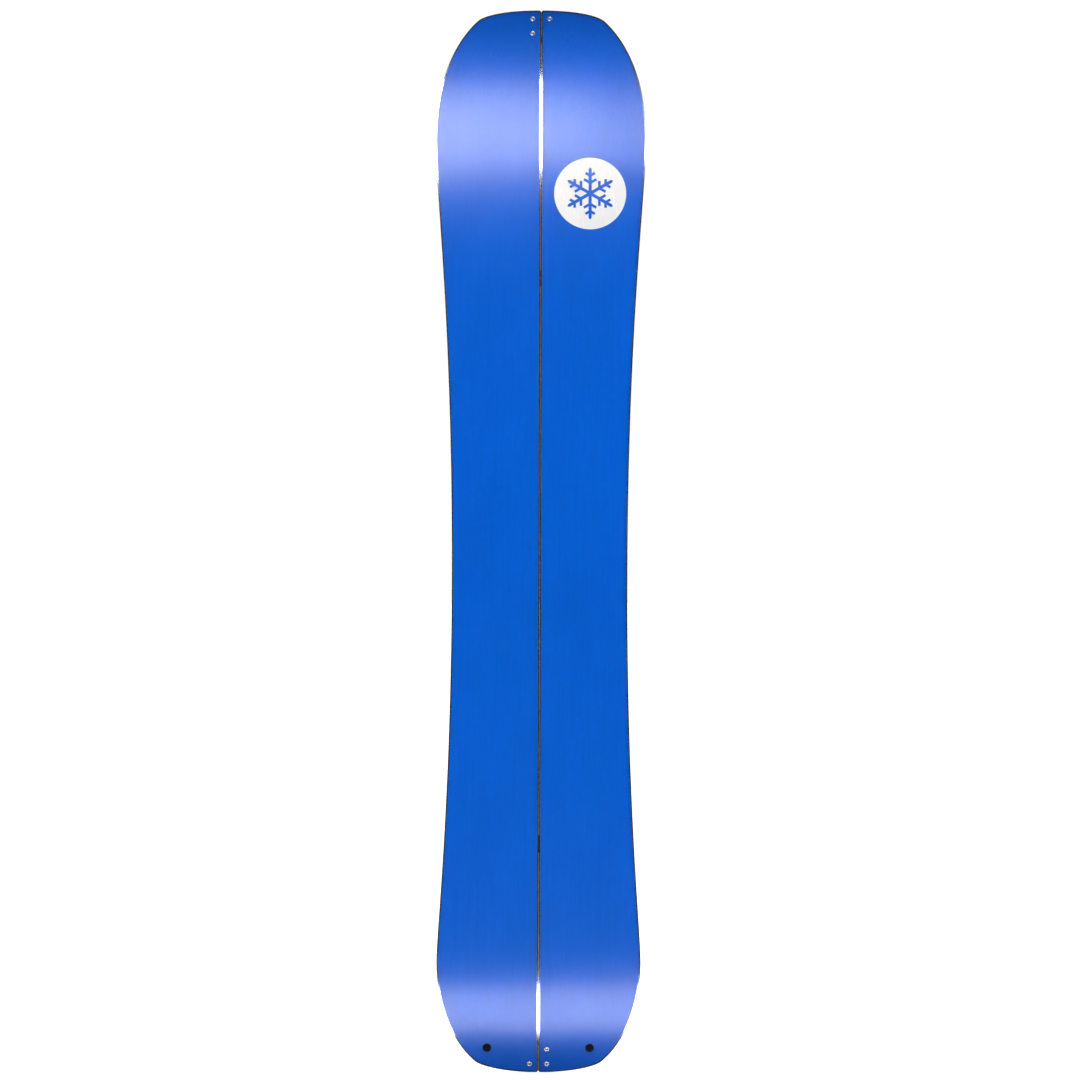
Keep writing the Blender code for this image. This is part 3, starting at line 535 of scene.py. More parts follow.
def polyethylene(name, colour, rough=0.24, mottle=0.05):
    """Sintered base material with streaks along the board left by a grinding stone, and painted shade: darker towards
    the tail, lighter towards the nose.
    """
    s = Shader(name)
    streaks = s.noise(1.0, (620, 620, 20), 4.0, 0.6)
    long_streaks = s.noise(1.0, (420, 420, 3.2), 3.0, 0.6, (3, 1, 5))
    cloud = s.noise(14.0, (1, 1, 0.45), 4.0, 0.55)
    speck = s.noise(160.0, (1, 1, 0.5), 2.0, 0.5)
    tone = s.maths("ADD", s.spread(cloud, -mottle, mottle), s.spread(streaks, -mottle * 0.8, mottle * 0.8))
    tone = s.maths("ADD", tone, s.spread(long_streaks, -mottle * 0.6, mottle * 0.6))
    tone = s.maths("ADD", tone, s.spread(speck, -mottle * 0.35, mottle * 0.35))
    split = s.node("ShaderNodeSeparateXYZ")
    s.link(s.coords, split.inputs[0])
    # painted shade and light: base colour scaled from 0.95 at the tail to 1.05 at the nose
    tail_to_nose_painted_shade = s.spread(split.outputs[2], 0.95, 1.05, 0.0, LENGTH)
    painted_shade_and_tone = s.maths("ADD", tail_to_nose_painted_shade, tone)
    scale = s.node("ShaderNodeVectorMath")
    scale.operation = "SCALE"
    scale.inputs[0].default_value = colour
    s.link(painted_shade_and_tone, scale.inputs["Scale"])
    s.link(scale.outputs["Vector"], s.bsdf.inputs["Base Color"])
    s.set(Roughness=s.spread(long_streaks, rough - 0.025, rough + 0.03),
          Specular_IOR_Level=s.maths("ADD", s.spread(streaks, 0.36, 0.56), s.spread(cloud, 0.0, 0.08)), IOR=1.5)
    s.bsdf.inputs["Anisotropic"].default_value = 0.4
    across = s.node("ShaderNodeCombineXYZ")
    across.inputs[0].default_value = 1.0
    s.link(across.outputs[0], s.bsdf.inputs["Tangent"])
    s.bump(streaks, 0.12, 0.00002)
    return s.mat


def steel(name, colour, rough, stretch, scale=1.0, vary=0.04, bump=0.15, metal=1.0):
    s = Shader(name)
    lines = s.noise(scale, stretch, 3.0, 0.6)
    patches = s.noise(60.0, (1, 1, 1), 3.0, 0.5, (2, 7, 1))
    s.set(Base_Color=s.mix(s.spread(patches, 0.0, 1.0), tuple(c * 0.92 for c in colour), colour),
          Metallic=metal, Roughness=s.spread(lines, rough - vary, rough + vary))
    s.bump(lines, bump, 0.00001)
    return s.mat


def plastic(name, colour, rough, grain=900.0, bump=0.2, depth=0.00003, vary=0.12, gloss=0.5):
    s = Shader(name)
    fine = s.noise(grain, (1, 1, 1), 2.0, 0.5)
    wide = s.noise(30.0, (1, 1, 1), 3.0, 0.5, (5, 2, 9))
    s.set(Base_Color=s.mix(s.spread(wide, 0.0, 1.0), tuple(c * (1 - vary) for c in colour), tuple(c * (1 + vary) for c in colour)),
          Roughness=s.spread(fine, rough - 0.05, rough + 0.05), Specular_IOR_Level=gloss)
    s.bump(fine, bump, depth)
    return s.mat


def sanded_sidewall(name, colour):
    s = Shader(name)
    lines = s.noise(1.0, (900, 900, 18), 3.0, 0.6)
    s.set(Base_Color=s.mix(s.spread(lines, 0.0, 1.0), tuple(c * 0.7 for c in colour), tuple(c * 1.5 for c in colour)),
          Roughness=s.spread(lines, 0.38, 0.52))
    s.bump(lines, 0.2, 0.00003)
    return s.mat


def glass_fibre(name):
    s = Shader(name)
    weave_a = s.noise(1.0, (1400, 1400, 60), 2.0, 0.5)
    weave_b = s.noise(1.0, (60, 60, 1400), 2.0, 0.5)
    cloth = s.maths("MAXIMUM", weave_a, weave_b)
    s.set(Base_Color=s.mix(s.spread(cloth, 0, 1, 0.4, 0.7), (0.38, 0.44, 0.30), (0.72, 0.76, 0.62)), Roughness=0.42)
    s.bump(cloth, 0.2, 0.00003)
    return s.mat


def laminated_wood(name):
    s = Shader(name)
    split = s.node("ShaderNodeSeparateXYZ")
    s.link(s.coords, split.inputs[0])
    strip = s.maths("FLOOR", s.maths("MULTIPLY", split.outputs[0], 62.0))
    shade = s.node("ShaderNodeTexWhiteNoise")
    shade.noise_dimensions = "1D"
    s.link(strip, shade.inputs["W"])
    grain = s.noise(1.0, (700, 700, 9), 5.0, 0.6)
    wood = s.mix(s.spread(grain, 0, 1), (0.46, 0.29, 0.14), (0.72, 0.53, 0.31))
    s.set(Base_Color=s.mix(s.spread(shade.outputs["Value"], 0.0, 0.45, 0, 1), wood, (0.80, 0.66, 0.45)), Roughness=0.58)
    s.bump(grain, 0.2, 0.00005)
    return s.mat


def contour_topsheet(name):
    """Satin topsheet: slate field with fine map-contour lines, deeper blue towards nose and tail."""
    s = Shader(name)
    step, count = 2 * MM, 17.0
    relief, east, north = (s.noise(5.2, (1.25, 0.0, 0.8), 2.2, 0.45, (4.3 + 1.25 * dx, 0, 1.7 + 0.8 * dz))
                           for dx, dz in ((0, 0), (step, 0), (0, step)))
    rise = [s.maths("DIVIDE", s.maths("SUBTRACT", other, relief), step) for other in (east, north)]
    steepness = s.maths("SQRT", s.maths("ADD", *(s.maths("MULTIPLY", r, r) for r in rise)))
    level = s.maths("FRACT", s.maths("MULTIPLY", relief, count))
    off_line = s.maths("MINIMUM", level, s.maths("SUBTRACT", 1.0, level))
    metres = s.maths("DIVIDE", off_line, s.maths("MULTIPLY", steepness, count))
    line = s.spread(metres, 1.0, 0.0, 0.45 * MM, 0.85 * MM)
    split = s.node("ShaderNodeSeparateXYZ")
    s.link(s.coords, split.inputs[0])
    away = s.maths("ABSOLUTE", s.maths("SUBTRACT", split.outputs[2], 0.745))
    field = s.mix(s.spread(away, 0.0, 1.0, 0.30, 0.72), (0.020, 0.027, 0.040), (0.006, 0.060, 0.250))
    fibre = s.noise(1.0, (800, 800, 12), 3.0, 0.6)
    field = s.mix(s.spread(fibre, 0.0, 0.22), field, (0.05, 0.065, 0.09))
    s.set(Base_Color=s.mix(s.maths("MULTIPLY", line, 0.42), field, (0.30, 0.37, 0.46)),
          Roughness=s.spread(fibre, 0.30, 0.38), Coat_Weight=0.25, Coat_Roughness=0.18)
    s.bump(fibre, 0.12, 0.00002)
    return s.mat


MATS = {
    "base_sheet": polyethylene("blue_sintered_base", (0.0004, 0.100, 0.600), 0.228),
    "base_inlay": polyethylene("off_white_base", (0.83, 0.83, 0.83), 0.26, 0.012),
    "steel_edge": steel("ground_edge_steel", (0.46, 0.51, 0.66), 0.11, (900, 900, 12), vary=0.015, bump=0.02, metal=0.93),
    "glass_laminate": glass_fibre("glass_laminate"),
    "wood_core": laminated_wood("laminated_core"),
    "sidewall": sanded_sidewall("black_sidewall", (0.022, 0.022, 0.025)),
    "tip_spacer": plastic("tip_fill", (0.045, 0.045, 0.05), 0.5),
    "topsheet": contour_topsheet("contour_topsheet"),
    "insert_rail": steel("anodised_rail", (0.10, 0.10, 0.11), 0.34, (900, 900, 20)),
    "threaded_insert": steel("turned_insert_steel", (0.68, 0.68, 0.69), 0.20, (500, 500, 500)),
    # dark colour is painted shade for the T-nut bores
    "thread": steel("dark_thread_painted_shade", (0.16, 0.155, 0.15), 0.42, (700, 700, 700)),
    "hook": steel("stamped_hook_steel", (0.62, 0.62, 0.63), 0.27, (700, 40, 40), vary=0.06),
    "screw": steel("bright_screw_steel", (0.70, 0.70, 0.71), 0.20, (600, 600, 600)),
    "clip_lever": steel("black_lever_coat", (0.045, 0.045, 0.05), 0.36, (800, 800, 800), vary=0.06, bump=0.3),
    "skin_socket": plastic("black_nylon_socket", (0.003, 0.0025, 0.002), 0.22, bump=0.04, gloss=0.08),
}


# =====================================================================================
# Where things go through the laminations
# =====================================================================================
def clip_holes(side_name):
    nose_outer, nose_inner = LENGTH - CLIP_END, LENGTH - CLIP_END - CLIP_PITCH
    tail_outer, tail_inner = CLIP_END, CLIP_END + CLIP_PITCH
    return [nose_outer, nose_inner, tail_outer] if side_name == "left" else [nose_outer, tail_outer, tail_inner]


HOOK_SCREWS = [(20 * MM, z + d) for z in HOOK_Z for d in (-8 * MM, 8 * MM)]


def through_holes(side_name, tnut_r, grow):
    return [circle(CLIP_X, z, tnut_r, 36) for z in clip_holes(side_name)] + [circle(SOCKET_X, SOCKET_Z, SOCKET_R + grow, 48)]


def top_openings(grow):
    loops = [circle(x, z, 1.7 * MM + grow, 20) for x, z in HOOK_SCREWS]
    loops += [stadium(RAIL_X, z, RAIL_LEN + 2 * grow, RAIL_W + 2 * grow) for z in RAIL_Z]
    for z, pitch, count in STRIPS.values():
        loops += [circle(STRIP_X, z + (i - (count - 1) / 2) * pitch, BOSS_R + grow, 32) for i in range(count)]
    return loops


# =====================================================================================
# Snow crystal let into the round inlay
# =====================================================================================
def crystal(grow):
    """Six-armed snow crystal as one closed outline round the origin; grow widens every bar."""
    bar, tip, twig = 2.3 * MM + grow, 37.0 * MM + grow, 1.9 * MM + grow
    lean_c, lean_s = cos(pi / 3), sin(pi / 3)
    upper = [Vector((2 * bar * cos(pi / 6), 2 * bar * sin(pi / 6)))]
    for at, reach in ((15.5 * MM, 10.5 * MM), (26.0 * MM, 8.0 * MM)):
        reach += grow
        near = (bar - twig * lean_c) / lean_s
        upper.append(Vector((at - twig * lean_s + lean_c * near, bar)))
        upper.append(Vector((at - twig * lean_s + lean_c * reach, twig * lean_c + lean_s * reach)))
        upper.append(Vector((at + twig * lean_s + lean_c * reach, -twig * lean_c + lean_s * reach)))
        far = (bar + twig * lean_c) / lean_s
        upper.append(Vector((at + twig * lean_s + lean_c * far, bar)))
    upper.append(Vector((tip - bar * 0.6, bar)))
    arm = [Vector((p.x, -p.y)) for p in upper[1:]] + [Vector((tip + bar * 0.6, 0))] + upper[1:][::-1] + [upper[0]]
    loop = []
    for k in range(6):
        c, s = cos(k * pi / 3 + pi / 6), sin(k * pi / 3 + pi / 6)
        loop += [Vector((p.x * c - p.y * s, p.x * s + p.y * c)) for p in arm]
    return loop


def moved(loop, x, z):
    return [Vector((p.x + x, p.y + z)) for p in loop]


# =====================================================================================
# The two laminated halves
# =====================================================================================
def build_half(name):
    side, body = SIDES[name], f"{name}_half"

    def layer(part, loops, span, slot, cutters=(), cuts=FINE, sharp=30):
        obj = plate(f"{name}_{part}_fine", mirrored(loops, side), *span)
        if cutters:
            combine(obj, [plate("cut", mirrored(c, side), *s) for c, s in cutters], "DIFFERENCE")
        press(obj, cuts)
        return settle(obj, body, MATS[slot], [f"{name}_{part}"], sharp)

    base = [half_outline(EDGE_W + JOIN, SEAM_W + JOIN)] + through_holes(name, TNUT_R + JOIN, JOIN)
    if name == "right":
        base.append(circle(INLAY_X, INLAY_Z, INLAY_R + JOIN, 128))
    layer("base_sheet", base, W_BASE, "base_sheet")

    x0, x1 = SEAM_FACE, SEAM_FACE + SEAM_W
    outside, inside = half_outline(0.0, 0.0), half_outline(EDGE_W, SEAM_W)
    low_z = min(p.y for p in outside) + SEAM_CORNER + JOIN
    high_z = max(p.y for p in outside) - SEAM_CORNER - JOIN
    run_out = [p for p in outside if p.x > x0 + 0.01 * MM or p.y < low_z or p.y > high_z]
    run_in = [p for p in inside if p.x > x1 + 0.01 * MM or p.y < low_z or p.y > high_z]
    layer("outer_edge", [run_out + run_in[::-1]], (0.0, BASE_T), "steel_edge")
    layer("inner_edge", [rectangle(x0, x1, low_z + JOIN, high_z - JOIN)], (0.0, BASE_T), "steel_edge")

    skin = half_outline(SHELL_INSET, 0.0)
    small = through_holes(name, TNUT_BARREL_R + 0.1 * MM, JOIN)
    layer("lower_laminate", [skin] + small, W_LOWER, "glass_laminate")
    openings = small + top_openings(JOIN)
    trimmed = half_outline(SHELL_INSET, SEAM_TRIM)
    layer("upper_laminate", [trimmed] + openings, W_UPPER, "glass_laminate")
    layer("topsheet", [trimmed] + openings, W_TOP, "topsheet")

    nose_z, tail_z = LENGTH - NOSE_SPACER, TAIL_SPACER
    low, high = tail_z + JOIN, nose_z - JOIN
    shell, wall = outer_path(SHELL_INSET), outer_path(SHELL_INSET + SIDEWALL_W)
    wood = outer_path(SHELL_INSET + SIDEWALL_W + JOIN)
    layer("outer_sidewall", [cut_at_z(shell, low, high) + cut_at_z(wall, low, high)[::-1]], W_CORE, "sidewall")
    layer("inner_sidewall", [rectangle(SEAM_FACE, SEAM_HALF + INNER_SIDEWALL_W, low, high)], W_CORE, "sidewall")
    pockets = [([stadium(RAIL_X, z, RAIL_LEN + 0.2 * MM, RAIL_W + 0.2 * MM)], (3.5 * MM, 20 * MM)) for z in RAIL_Z]
    pockets += [([circle(x, z, 1.75 * MM, 16)], (3.4 * MM, 20 * MM)) for x, z in HOOK_SCREWS]
    pockets += [([stadium(STRIP_X, z, (count - 1) * pitch + 26.2 * MM, 14.2 * MM)], (5.2 * MM, 20 * MM))
                for z, pitch, count in STRIPS.values()]
    inner = SEAM_HALF + INNER_SIDEWALL_W + JOIN
    core = cut_at_z(wood, low, high) + [Vector((inner, high)), Vector((inner, low))]
    layer("wood_core", [core], W_CORE, "wood_core", pockets, PLAIN)
    full = half_outline(SHELL_INSET, 0.0)
    for part, keep, cut in (("nose_spacer", lambda p: p.y > nose_z, nose_z), ("tail_spacer", lambda p: p.y < tail_z, tail_z)):
        loop = []
        for i in range(len(full)):
            a, b = full[i], full[(i + 1) % len(full)]
            if keep(a):
                loop.append(a)
            if keep(a) != keep(b):
                loop.append(a + (b - a) * ((cut - a.y) / (b.y - a.y)))
        layer(part, [loop] + [h for h in small if keep(h[0])], W_CORE, "tip_spacer")

    for place, z in zip(("rear", "front"), RAIL_Z):
        node = f"{name}_{place}_insert_rail"
        rail = plate(node + "_fine", mirrored([stadium(RAIL_X, z, RAIL_LEN, RAIL_W)], side), 3.7 * MM, W_TOP[1] - 0.05 * MM)
        slot = plate("slot", mirrored([stadium(RAIL_X, z, RAIL_LEN - 8 * MM, 7 * MM)], side), 4.9 * MM, 20 * MM)
        way = plate("way", mirrored([stadium(RAIL_X, z, RAIL_LEN - 5 * MM, 11 * MM)], side), 4.9 * MM, 7.6 * MM)
        combine(rail, [slot, way], "DIFFERENCE")
        settle(press(rail, PLAIN), body, MATS["insert_rail"], [node])

    for part, (z, pitch, count) in STRIPS.items():
        node = f"{name}_{part}"
        strip = plate(node + "_fine", mirrored([stadium(STRIP_X, z, (count - 1) * pitch + 26 * MM, 14 * MM)], side),
                      5.4 * MM, 7.9 * MM)
        at = [z + (i - (count - 1) / 2) * pitch for i in range(count)]
        combine(strip, [plate("boss", mirrored([circle(STRIP_X, c, BOSS_R - JOIN, 32)], side), 6.5 * MM, W_TOP[1] - 0.05 * MM) for c in at], "UNION")
        combine(strip, [plate("thread", mirrored([circle(STRIP_X, c, BOSS_BORE_R, 28)], side), 6.0 * MM, 20 * MM) for c in at], "DIFFERENCE")
        settle(press(strip, PLAIN), body, MATS["threaded_insert"], [node])


build_half("right")
build_half("left")

inlay = plate("base_inlay_disc", [circle(INLAY_X, INLAY_Z, INLAY_R, 128), moved(crystal(0.05 * MM), INLAY_X, INLAY_Z)], *W_BASE)
settle(press(inlay, FINE), "right_half", MATS["base_inlay"], ["base_inlay"])
motif = plate("base_inlay_crystal", [moved(crystal(0.0), INLAY_X, INLAY_Z)], *W_BASE)
settle(press(motif, FINE), "right_half", MATS["base_sheet"], [])


# =====================================================================================
# Tail sockets
# =====================================================================================
def arc_profile(centre_r, centre_h, radius, start, end, steps=5):
    return [(centre_r + radius * cos(radians(start + (end - start) * i / steps)),
             centre_h + radius * sin(radians(start + (end - start) * i / steps))) for i in range(steps + 1)]


for name, side in SIDES.items():
    depth = TIP_TOP - 0.05 * MM
    lip, rim = 0.35 * MM, 0.15 * MM
    profile = ([(0, depth)] + arc_profile(SOCKET_R - JOIN - lip, depth - lip, lip, 90, 0)
               + arc_profile(SOCKET_R - JOIN - rim, 0.07 * MM + rim, rim, 0, -90)
               + [(4.8 * MM, 0.27 * MM)]
               + [(4.7 * MM, 1.4 * MM), (4.2 * MM, 1.9 * MM), (4.2 * MM, 4.2 * MM), (1.6 * MM, 4.35 * MM), (0, 4.35 * MM)])
    socket = turned(f"{name}_skin_socket_fine", profile, seat(side * SOCKET_X, SOCKET_Z), 64)
    settle(socket, f"{name}_half", MATS["skin_socket"], [f"{name}_skin_socket"], 40)


# =====================================================================================
# Tip clips
# =====================================================================================
def t_nut(name, x, z, body):
    """Tubular nut, its base-side end rolled into a rounded lip."""
    top, outer = TIP_TOP - 0.3 * MM, TNUT_R - JOIN
    bore, floor = TNUT_BORE_R, 0.04 * MM
    lip = (outer - bore) / 2
    profile = ([(bore, top), (TNUT_BARREL_R, top), (TNUT_BARREL_R, 1.5 * MM), (outer, 1.5 * MM)]
               + [(outer - lip + lip * cos(radians(a)), floor + lip + lip * sin(radians(a))) for a in range(0, -91, -10)]
               + [(bore + lip - lip * cos(radians(a)), floor + lip + lip * sin(radians(a))) for a in range(-80, 1, 10)])
    settle(turned(name + "_fine", profile, seat(x, z), 48, closed=True), body, MATS["threaded_insert"], [name], 40)
    # thread below the stud's end, a little proud of the bore; its dark colour is painted shade that darkens the bore
    crest, root, wall, pitch = 1.45 * MM, 1.68 * MM, bore - 0.02 * MM, 0.5 * MM
    turns = [(wall, 3.45 * MM), (wall, 0.9 * MM)]
    for k in range(5):
        at = 0.9 * MM + k * pitch
        turns += [(root, at), (crest, at + 0.25 * MM)]
    turns += [(root, 3.45 * MM)]
    settle(turned(name + "_thread", turns, seat(x, z), 40, closed=True), body, MATS["thread"], [], 20)


LEVER_LOW = TIP_TOP + 1.6 * MM
LEVER_HIGH = LEVER_LOW + LEVER_T
FOOT_R = 5.2 * MM


def hex_key(placed, low, high, across=4.0 * MM):
    return plate("key", [circle(0, 0, across / 2 / cos(pi / 6), 6, 0.2)], low, high, placed)


def clip_stud(name, x, z, body, collar_r, head_r, head_low, head_high):
    shank, tip = TNUT_BORE_R - 0.15 * MM, 3.5 * MM
    root, foot = TIP_TOP + 0.15 * MM, LEVER_LOW - 0.3 * MM
    stem = ([(shank, root), (shank, tip + 0.9 * MM)]
            + [(shank * sin(radians(a)), tip + 0.9 * MM * (1 - cos(radians(a)))) for a in (72, 54, 36, 18)] + [(0, tip)])
    if head_r > collar_r:
        crown = head_high - head_low
        dome = [(head_r * sin(radians(a)), head_low + 0.4 * MM + (crown - 0.4 * MM) * cos(radians(a))) for a in (0, 18, 34, 48, 60, 70, 78, 84, 90)]
        dome[0] = (0, dome[0][1])
        base = ([(collar_r, foot)] + arc_profile(FOOT_R - 0.3 * MM, foot - 0.3 * MM, 0.3 * MM, 90, 0, 3) + [(FOOT_R, root)])
        profile = dome + [(head_r, head_low + 0.15 * MM), (head_r - 0.15 * MM, head_low), (collar_r, head_low)] + base + stem
    else:
        rim = 0.7 * MM
        profile = [(0, head_high)] + arc_profile(collar_r - rim, head_high - rim, rim, 90, 0) + [(collar_r, root)] + stem
    placed = seat(x, z)
    obj = turned(name + "_fine", profile, placed, 48)
    if head_r > collar_r:
        combine(obj, [hex_key(placed, head_low - 0.8 * MM, head_high + 2 * MM)], "DIFFERENCE")
    else:
        combine(obj, [hex_key(placed, head_high - 2.2 * MM, head_high + 2 * MM, 2.5 * MM)], "DIFFERENCE")
    settle(obj, body, MATS["screw"], [name], 32)


def lever_frame(x, z, sign, angle):
    surface = seat(x, z)
    across, down, normal = (surface.col[k].to_3d() for k in range(3))
    placed = Matrix((across * sign, down * -sign, -normal)).transposed().to_4x4()
    placed.translation = surface.translation
    return placed @ Matrix.Rotation(angle, 4, "Z")


def polar(r, degrees):
    return Vector((r * cos(radians(degrees)), r * sin(radians(degrees))))


def clip_lever(name, x, z, sign, stop_z, body):
    placed = lever_frame(x, z, sign, -CLIP_PARK)
    low, high = -LEVER_HIGH, -LEVER_LOW
    lever = plate(name + "_fine", [circle(0, 0, 6.4 * MM, 64)], low, high, placed)
    side_curve = [(t * 25 * MM, 4.4 * MM + 0.9 * MM * t ** 2 - 0.9 * MM * sin(pi * t)) for t in [i / 12 for i in range(13)]]
    arm_loop = [Vector((a, -b)) for a, b in side_curve] + [Vector((a, b)) for a, b in side_curve[::-1]]
    arm = plate("arm", [arm_loop], low, high, placed)
    hook = plate("hook", [circle(CLIP_REACH, 0, 6.7 * MM, 64, 0.1)], low, high, placed)
    tab_loop = [Vector((28 * MM, -4.6 * MM))] + [Vector((33 * MM, 0)) + polar(3.3 * MM, a) for a in range(-80, 81, 10)] + [Vector((28 * MM, 4.6 * MM))]
    tab = plate("tab", [tab_loop], low, high, placed)
    combine(lever, [arm, hook, tab], "UNION")
    deep = (low - 1 * MM, high + 1 * MM)
    bore = plate("bore", [circle(0, 0, 2.75 * MM, 48, 0.05)], *deep, placed)
    inner, outer = CLIP_REACH - 3.3 * MM, CLIP_REACH + 3.3 * MM
    sweep = [-1 + i for i in range(0, 22)]
    mouth = plate("mouth", [[polar(inner, a) for a in sweep] + [polar(outer, a) for a in sweep[::-1]]], *deep, placed)
    slot = plate("slot", [circle(CLIP_REACH, 0, 3.302 * MM, 64, 0.03)], *deep, placed)
    rest = placed.inverted() @ (seat(x, stop_z) @ Vector((0, 0, LEVER_LOW + LEVER_T / 2)))
    nest = plate("nest", [circle(rest.x, rest.y, 3.35 * MM, 64, 0.07)], *deep, placed)
    combine(lever, [bore, slot, mouth, nest], "DIFFERENCE")
    for k in range(3):
        at = 28.9 * MM + k * 2.2 * MM
        combine(lever, [plate("grip", [rectangle(at, at + 0.8 * MM, -5 * MM, 5 * MM)], low - 1 * MM, low + 0.45 * MM, placed)], "DIFFERENCE")
    bevelled(lever, 0.3 * MM, 2)
    settle(lever, body, MATS["clip_lever"], [name], 35)


nose_z, tail_z = LENGTH - CLIP_END, CLIP_END
for end, pivot_side, z, inward in (("nose", "left", nose_z, -1), ("tail", "right", tail_z, 1)):
    sign = -SIDES[pivot_side]
    catch_side = "right" if pivot_side == "left" else "left"
    px, cx = SIDES[pivot_side] * CLIP_X, SIDES[catch_side] * CLIP_X
    own, other = f"{pivot_side}_half", f"{catch_side}_half"
    t_nut(f"{end}_pivot_t_nut", px, z, own)
    t_nut(f"{end}_stop_t_nut", px, z + inward * CLIP_PITCH, own)
    t_nut(f"{end}_catch_t_nut", cx, z, other)
    head = LEVER_HIGH + 0.3 * MM
    clip_stud(f"{end}_clip_pivot_bolt", px, z, own, 2.5 * MM, 5.0 * MM, head, head + 2.0 * MM)
    clip_stud(f"{end}_clip_catch_post", cx, z, other, 3.0 * MM, 5.0 * MM, head, head + 2.0 * MM)
    clip_stud(f"{end}_clip_stop_stud", px, z + inward * CLIP_PITCH, own, 3.0 * MM, 0.0, head, LEVER_HIGH + 0.6 * MM)
    clip_lever(f"{end}_clip_lever", px, z, sign, z + inward * CLIP_PITCH, f"{end}_clip")


# =====================================================================================
# Alignment hooks
# =====================================================================================
def rounded(points, radius, steps=5):
    """Closed outline with every corner rounded; radius is shortened where a side is short."""
    result, n = [], len(points)
    for i in range(n):
        before, here, after = points[i - 1], points[i], points[(i + 1) % n]
        a, b = (before - here), (after - here)
        r = min(radius, a.length * 0.45, b.length * 0.45)
        a, b = a.normalized() * r, b.normalized() * r
        for k in range(steps + 1):
            t = k / steps
            result.append((here + a) * (1 - t) ** 2 + here * 2 * t * (1 - t) + (here + b) * t ** 2)
    return result


def hook_loop(side):
    block_in, block_out, reach, half = 14 * MM, 26 * MM, 12 * MM, 14 * MM
    low, high = 0.4 * MM, 12 * MM
    loop = [Vector((-block_out, -half)), Vector((-block_in, -half)), Vector((-block_in, low)), Vector((reach, low)),
            Vector((reach, high)), Vector((-block_in, high)), Vector((-block_in, half)), Vector((-block_out, half))]
    return [Vector((p.x * -side, p.y * -side)) for p in loop]


for place, z in zip(("rear", "front"), HOOK_Z):
    surface, top = seat(0, z), top_height(z) + 0.12 * MM
    for name, side in SIDES.items():
        flip = 1 if place == "front" else -1
        loop = rounded([Vector((p.x, p.y * flip)) for p in hook_loop(side)], 2.2 * MM)
        holes = [circle(side * 20 * MM, d, 1.75 * MM, 32) for d in (-8 * MM, 8 * MM)]
        hook = plate(f"{name}_{place}_hook_fine", [loop] + holes, top, top + 2 * MM, surface)
        bevelled(hook, 0.35 * MM, 3)
        settle(hook, f"{name}_half", MATS["hook"], [f"{name}_{place}_hook"], 35)
        for number, d in enumerate((-8 * MM, 8 * MM), 1):
            placed, node = seat(side * 20 * MM, z - d), f"{name}_{place}_hook_screw_{number}"
            head = top + 2.05 * MM
            dome = [(3.35 * MM * sin(radians(a)), head + 0.45 * MM + 1.05 * MM * cos(radians(a))) for a in (0, 20, 38, 52, 64, 74, 82, 90)]
            dome[0] = (0, dome[0][1])
            profile = dome + [(3.35 * MM, head + 0.12 * MM), (3.2 * MM, head), (1.5 * MM, head), (1.5 * MM, 4.0 * MM), (0.9 * MM, 3.6 * MM), (0, 3.6 * MM)]
            screw = turned(node + "_fine", profile, placed, 40)
            combine(screw, [hex_key(placed, head + 0.3 * MM, head + 4 * MM, 2.2 * MM)], "DIFFERENCE")
            settle(screw, f"{name}_half", MATS["screw"], [node], 32)


# =====================================================================================
# Stage: pale floor, soft studio light, camera
# =====================================================================================
def flagged(tree, ray, on, off):
    """A value socket or number `on` for one kind of ray and `off` for all others."""
    path = tree.nodes.new("ShaderNodeLightPath")
    choose = tree.nodes.new("ShaderNodeMix")
    choose.data_type = "FLOAT"
    tree.links.new(path.outputs[ray], choose.inputs[0])
    for socket, value in ((choose.inputs[2], off), (choose.inputs[3], on)):
        if hasattr(value, "links"):
            tree.links.new(value, socket)
        else:
            socket.default_value = value
    return choose.outputs[0]


# a white cove to the eye; for light and reflections, a dark room in front of the base, pale walls at the
# sides, far above and far below, and a grey room behind the topsheet
world = bpy.data.worlds.new("studio")
bpy.context.scene.world = world
world.use_nodes = True
tree = world.node_tree
background = tree.nodes["Background"]
background.inputs["Color"].default_value = (1, 1, 1, 1)
WALL, BACK_ROOM = 1.2, 0.55
way, split = tree.nodes.new("ShaderNodeTexCoord"), tree.nodes.new("ShaderNodeSeparateXYZ")
tree.links.new(way.outputs["Generated"], split.inputs[0])


def tree_maths(kind, *values):
    node = tree.nodes.new("ShaderNodeMath")
    node.operation = kind
    for socket, value in zip(node.inputs, values):
        if hasattr(value, "links"):
            tree.links.new(value, socket)
        else:
            socket.default_value = value
    return node.outputs[0]


def tree_ramp(value, low, high, at_low, at_high):
    node = tree.nodes.new("ShaderNodeMapRange")
    node.interpolation_type = "SMOOTHSTEP"
    for key, number in (("From Min", low), ("From Max", high)):
        node.inputs[key].default_value = number
    for key, end in (("To Min", at_low), ("To Max", at_high)):
        if hasattr(end, "links"):
            tree.links.new(end, node.inputs[key])
        else:
            node.inputs[key].default_value = end
    tree.links.new(value, node.inputs["Value"])
    return node.outputs["Result"]


aside = tree_maths("ADD", tree_maths("POWER", split.outputs["X"], 2.0),
                   tree_maths("POWER", tree_maths("DIVIDE", split.outputs["Z"], 1.3), 2.0))
front = tree_ramp(aside, 0.42, 0.62, 0.0, WALL)
room = tree_ramp(split.outputs["Y"], -0.25, 0.25, front, BACK_ROOM)
tree.links.new(flagged(tree, "Is Camera Ray", 1.05, room), background.inputs["Strength"])

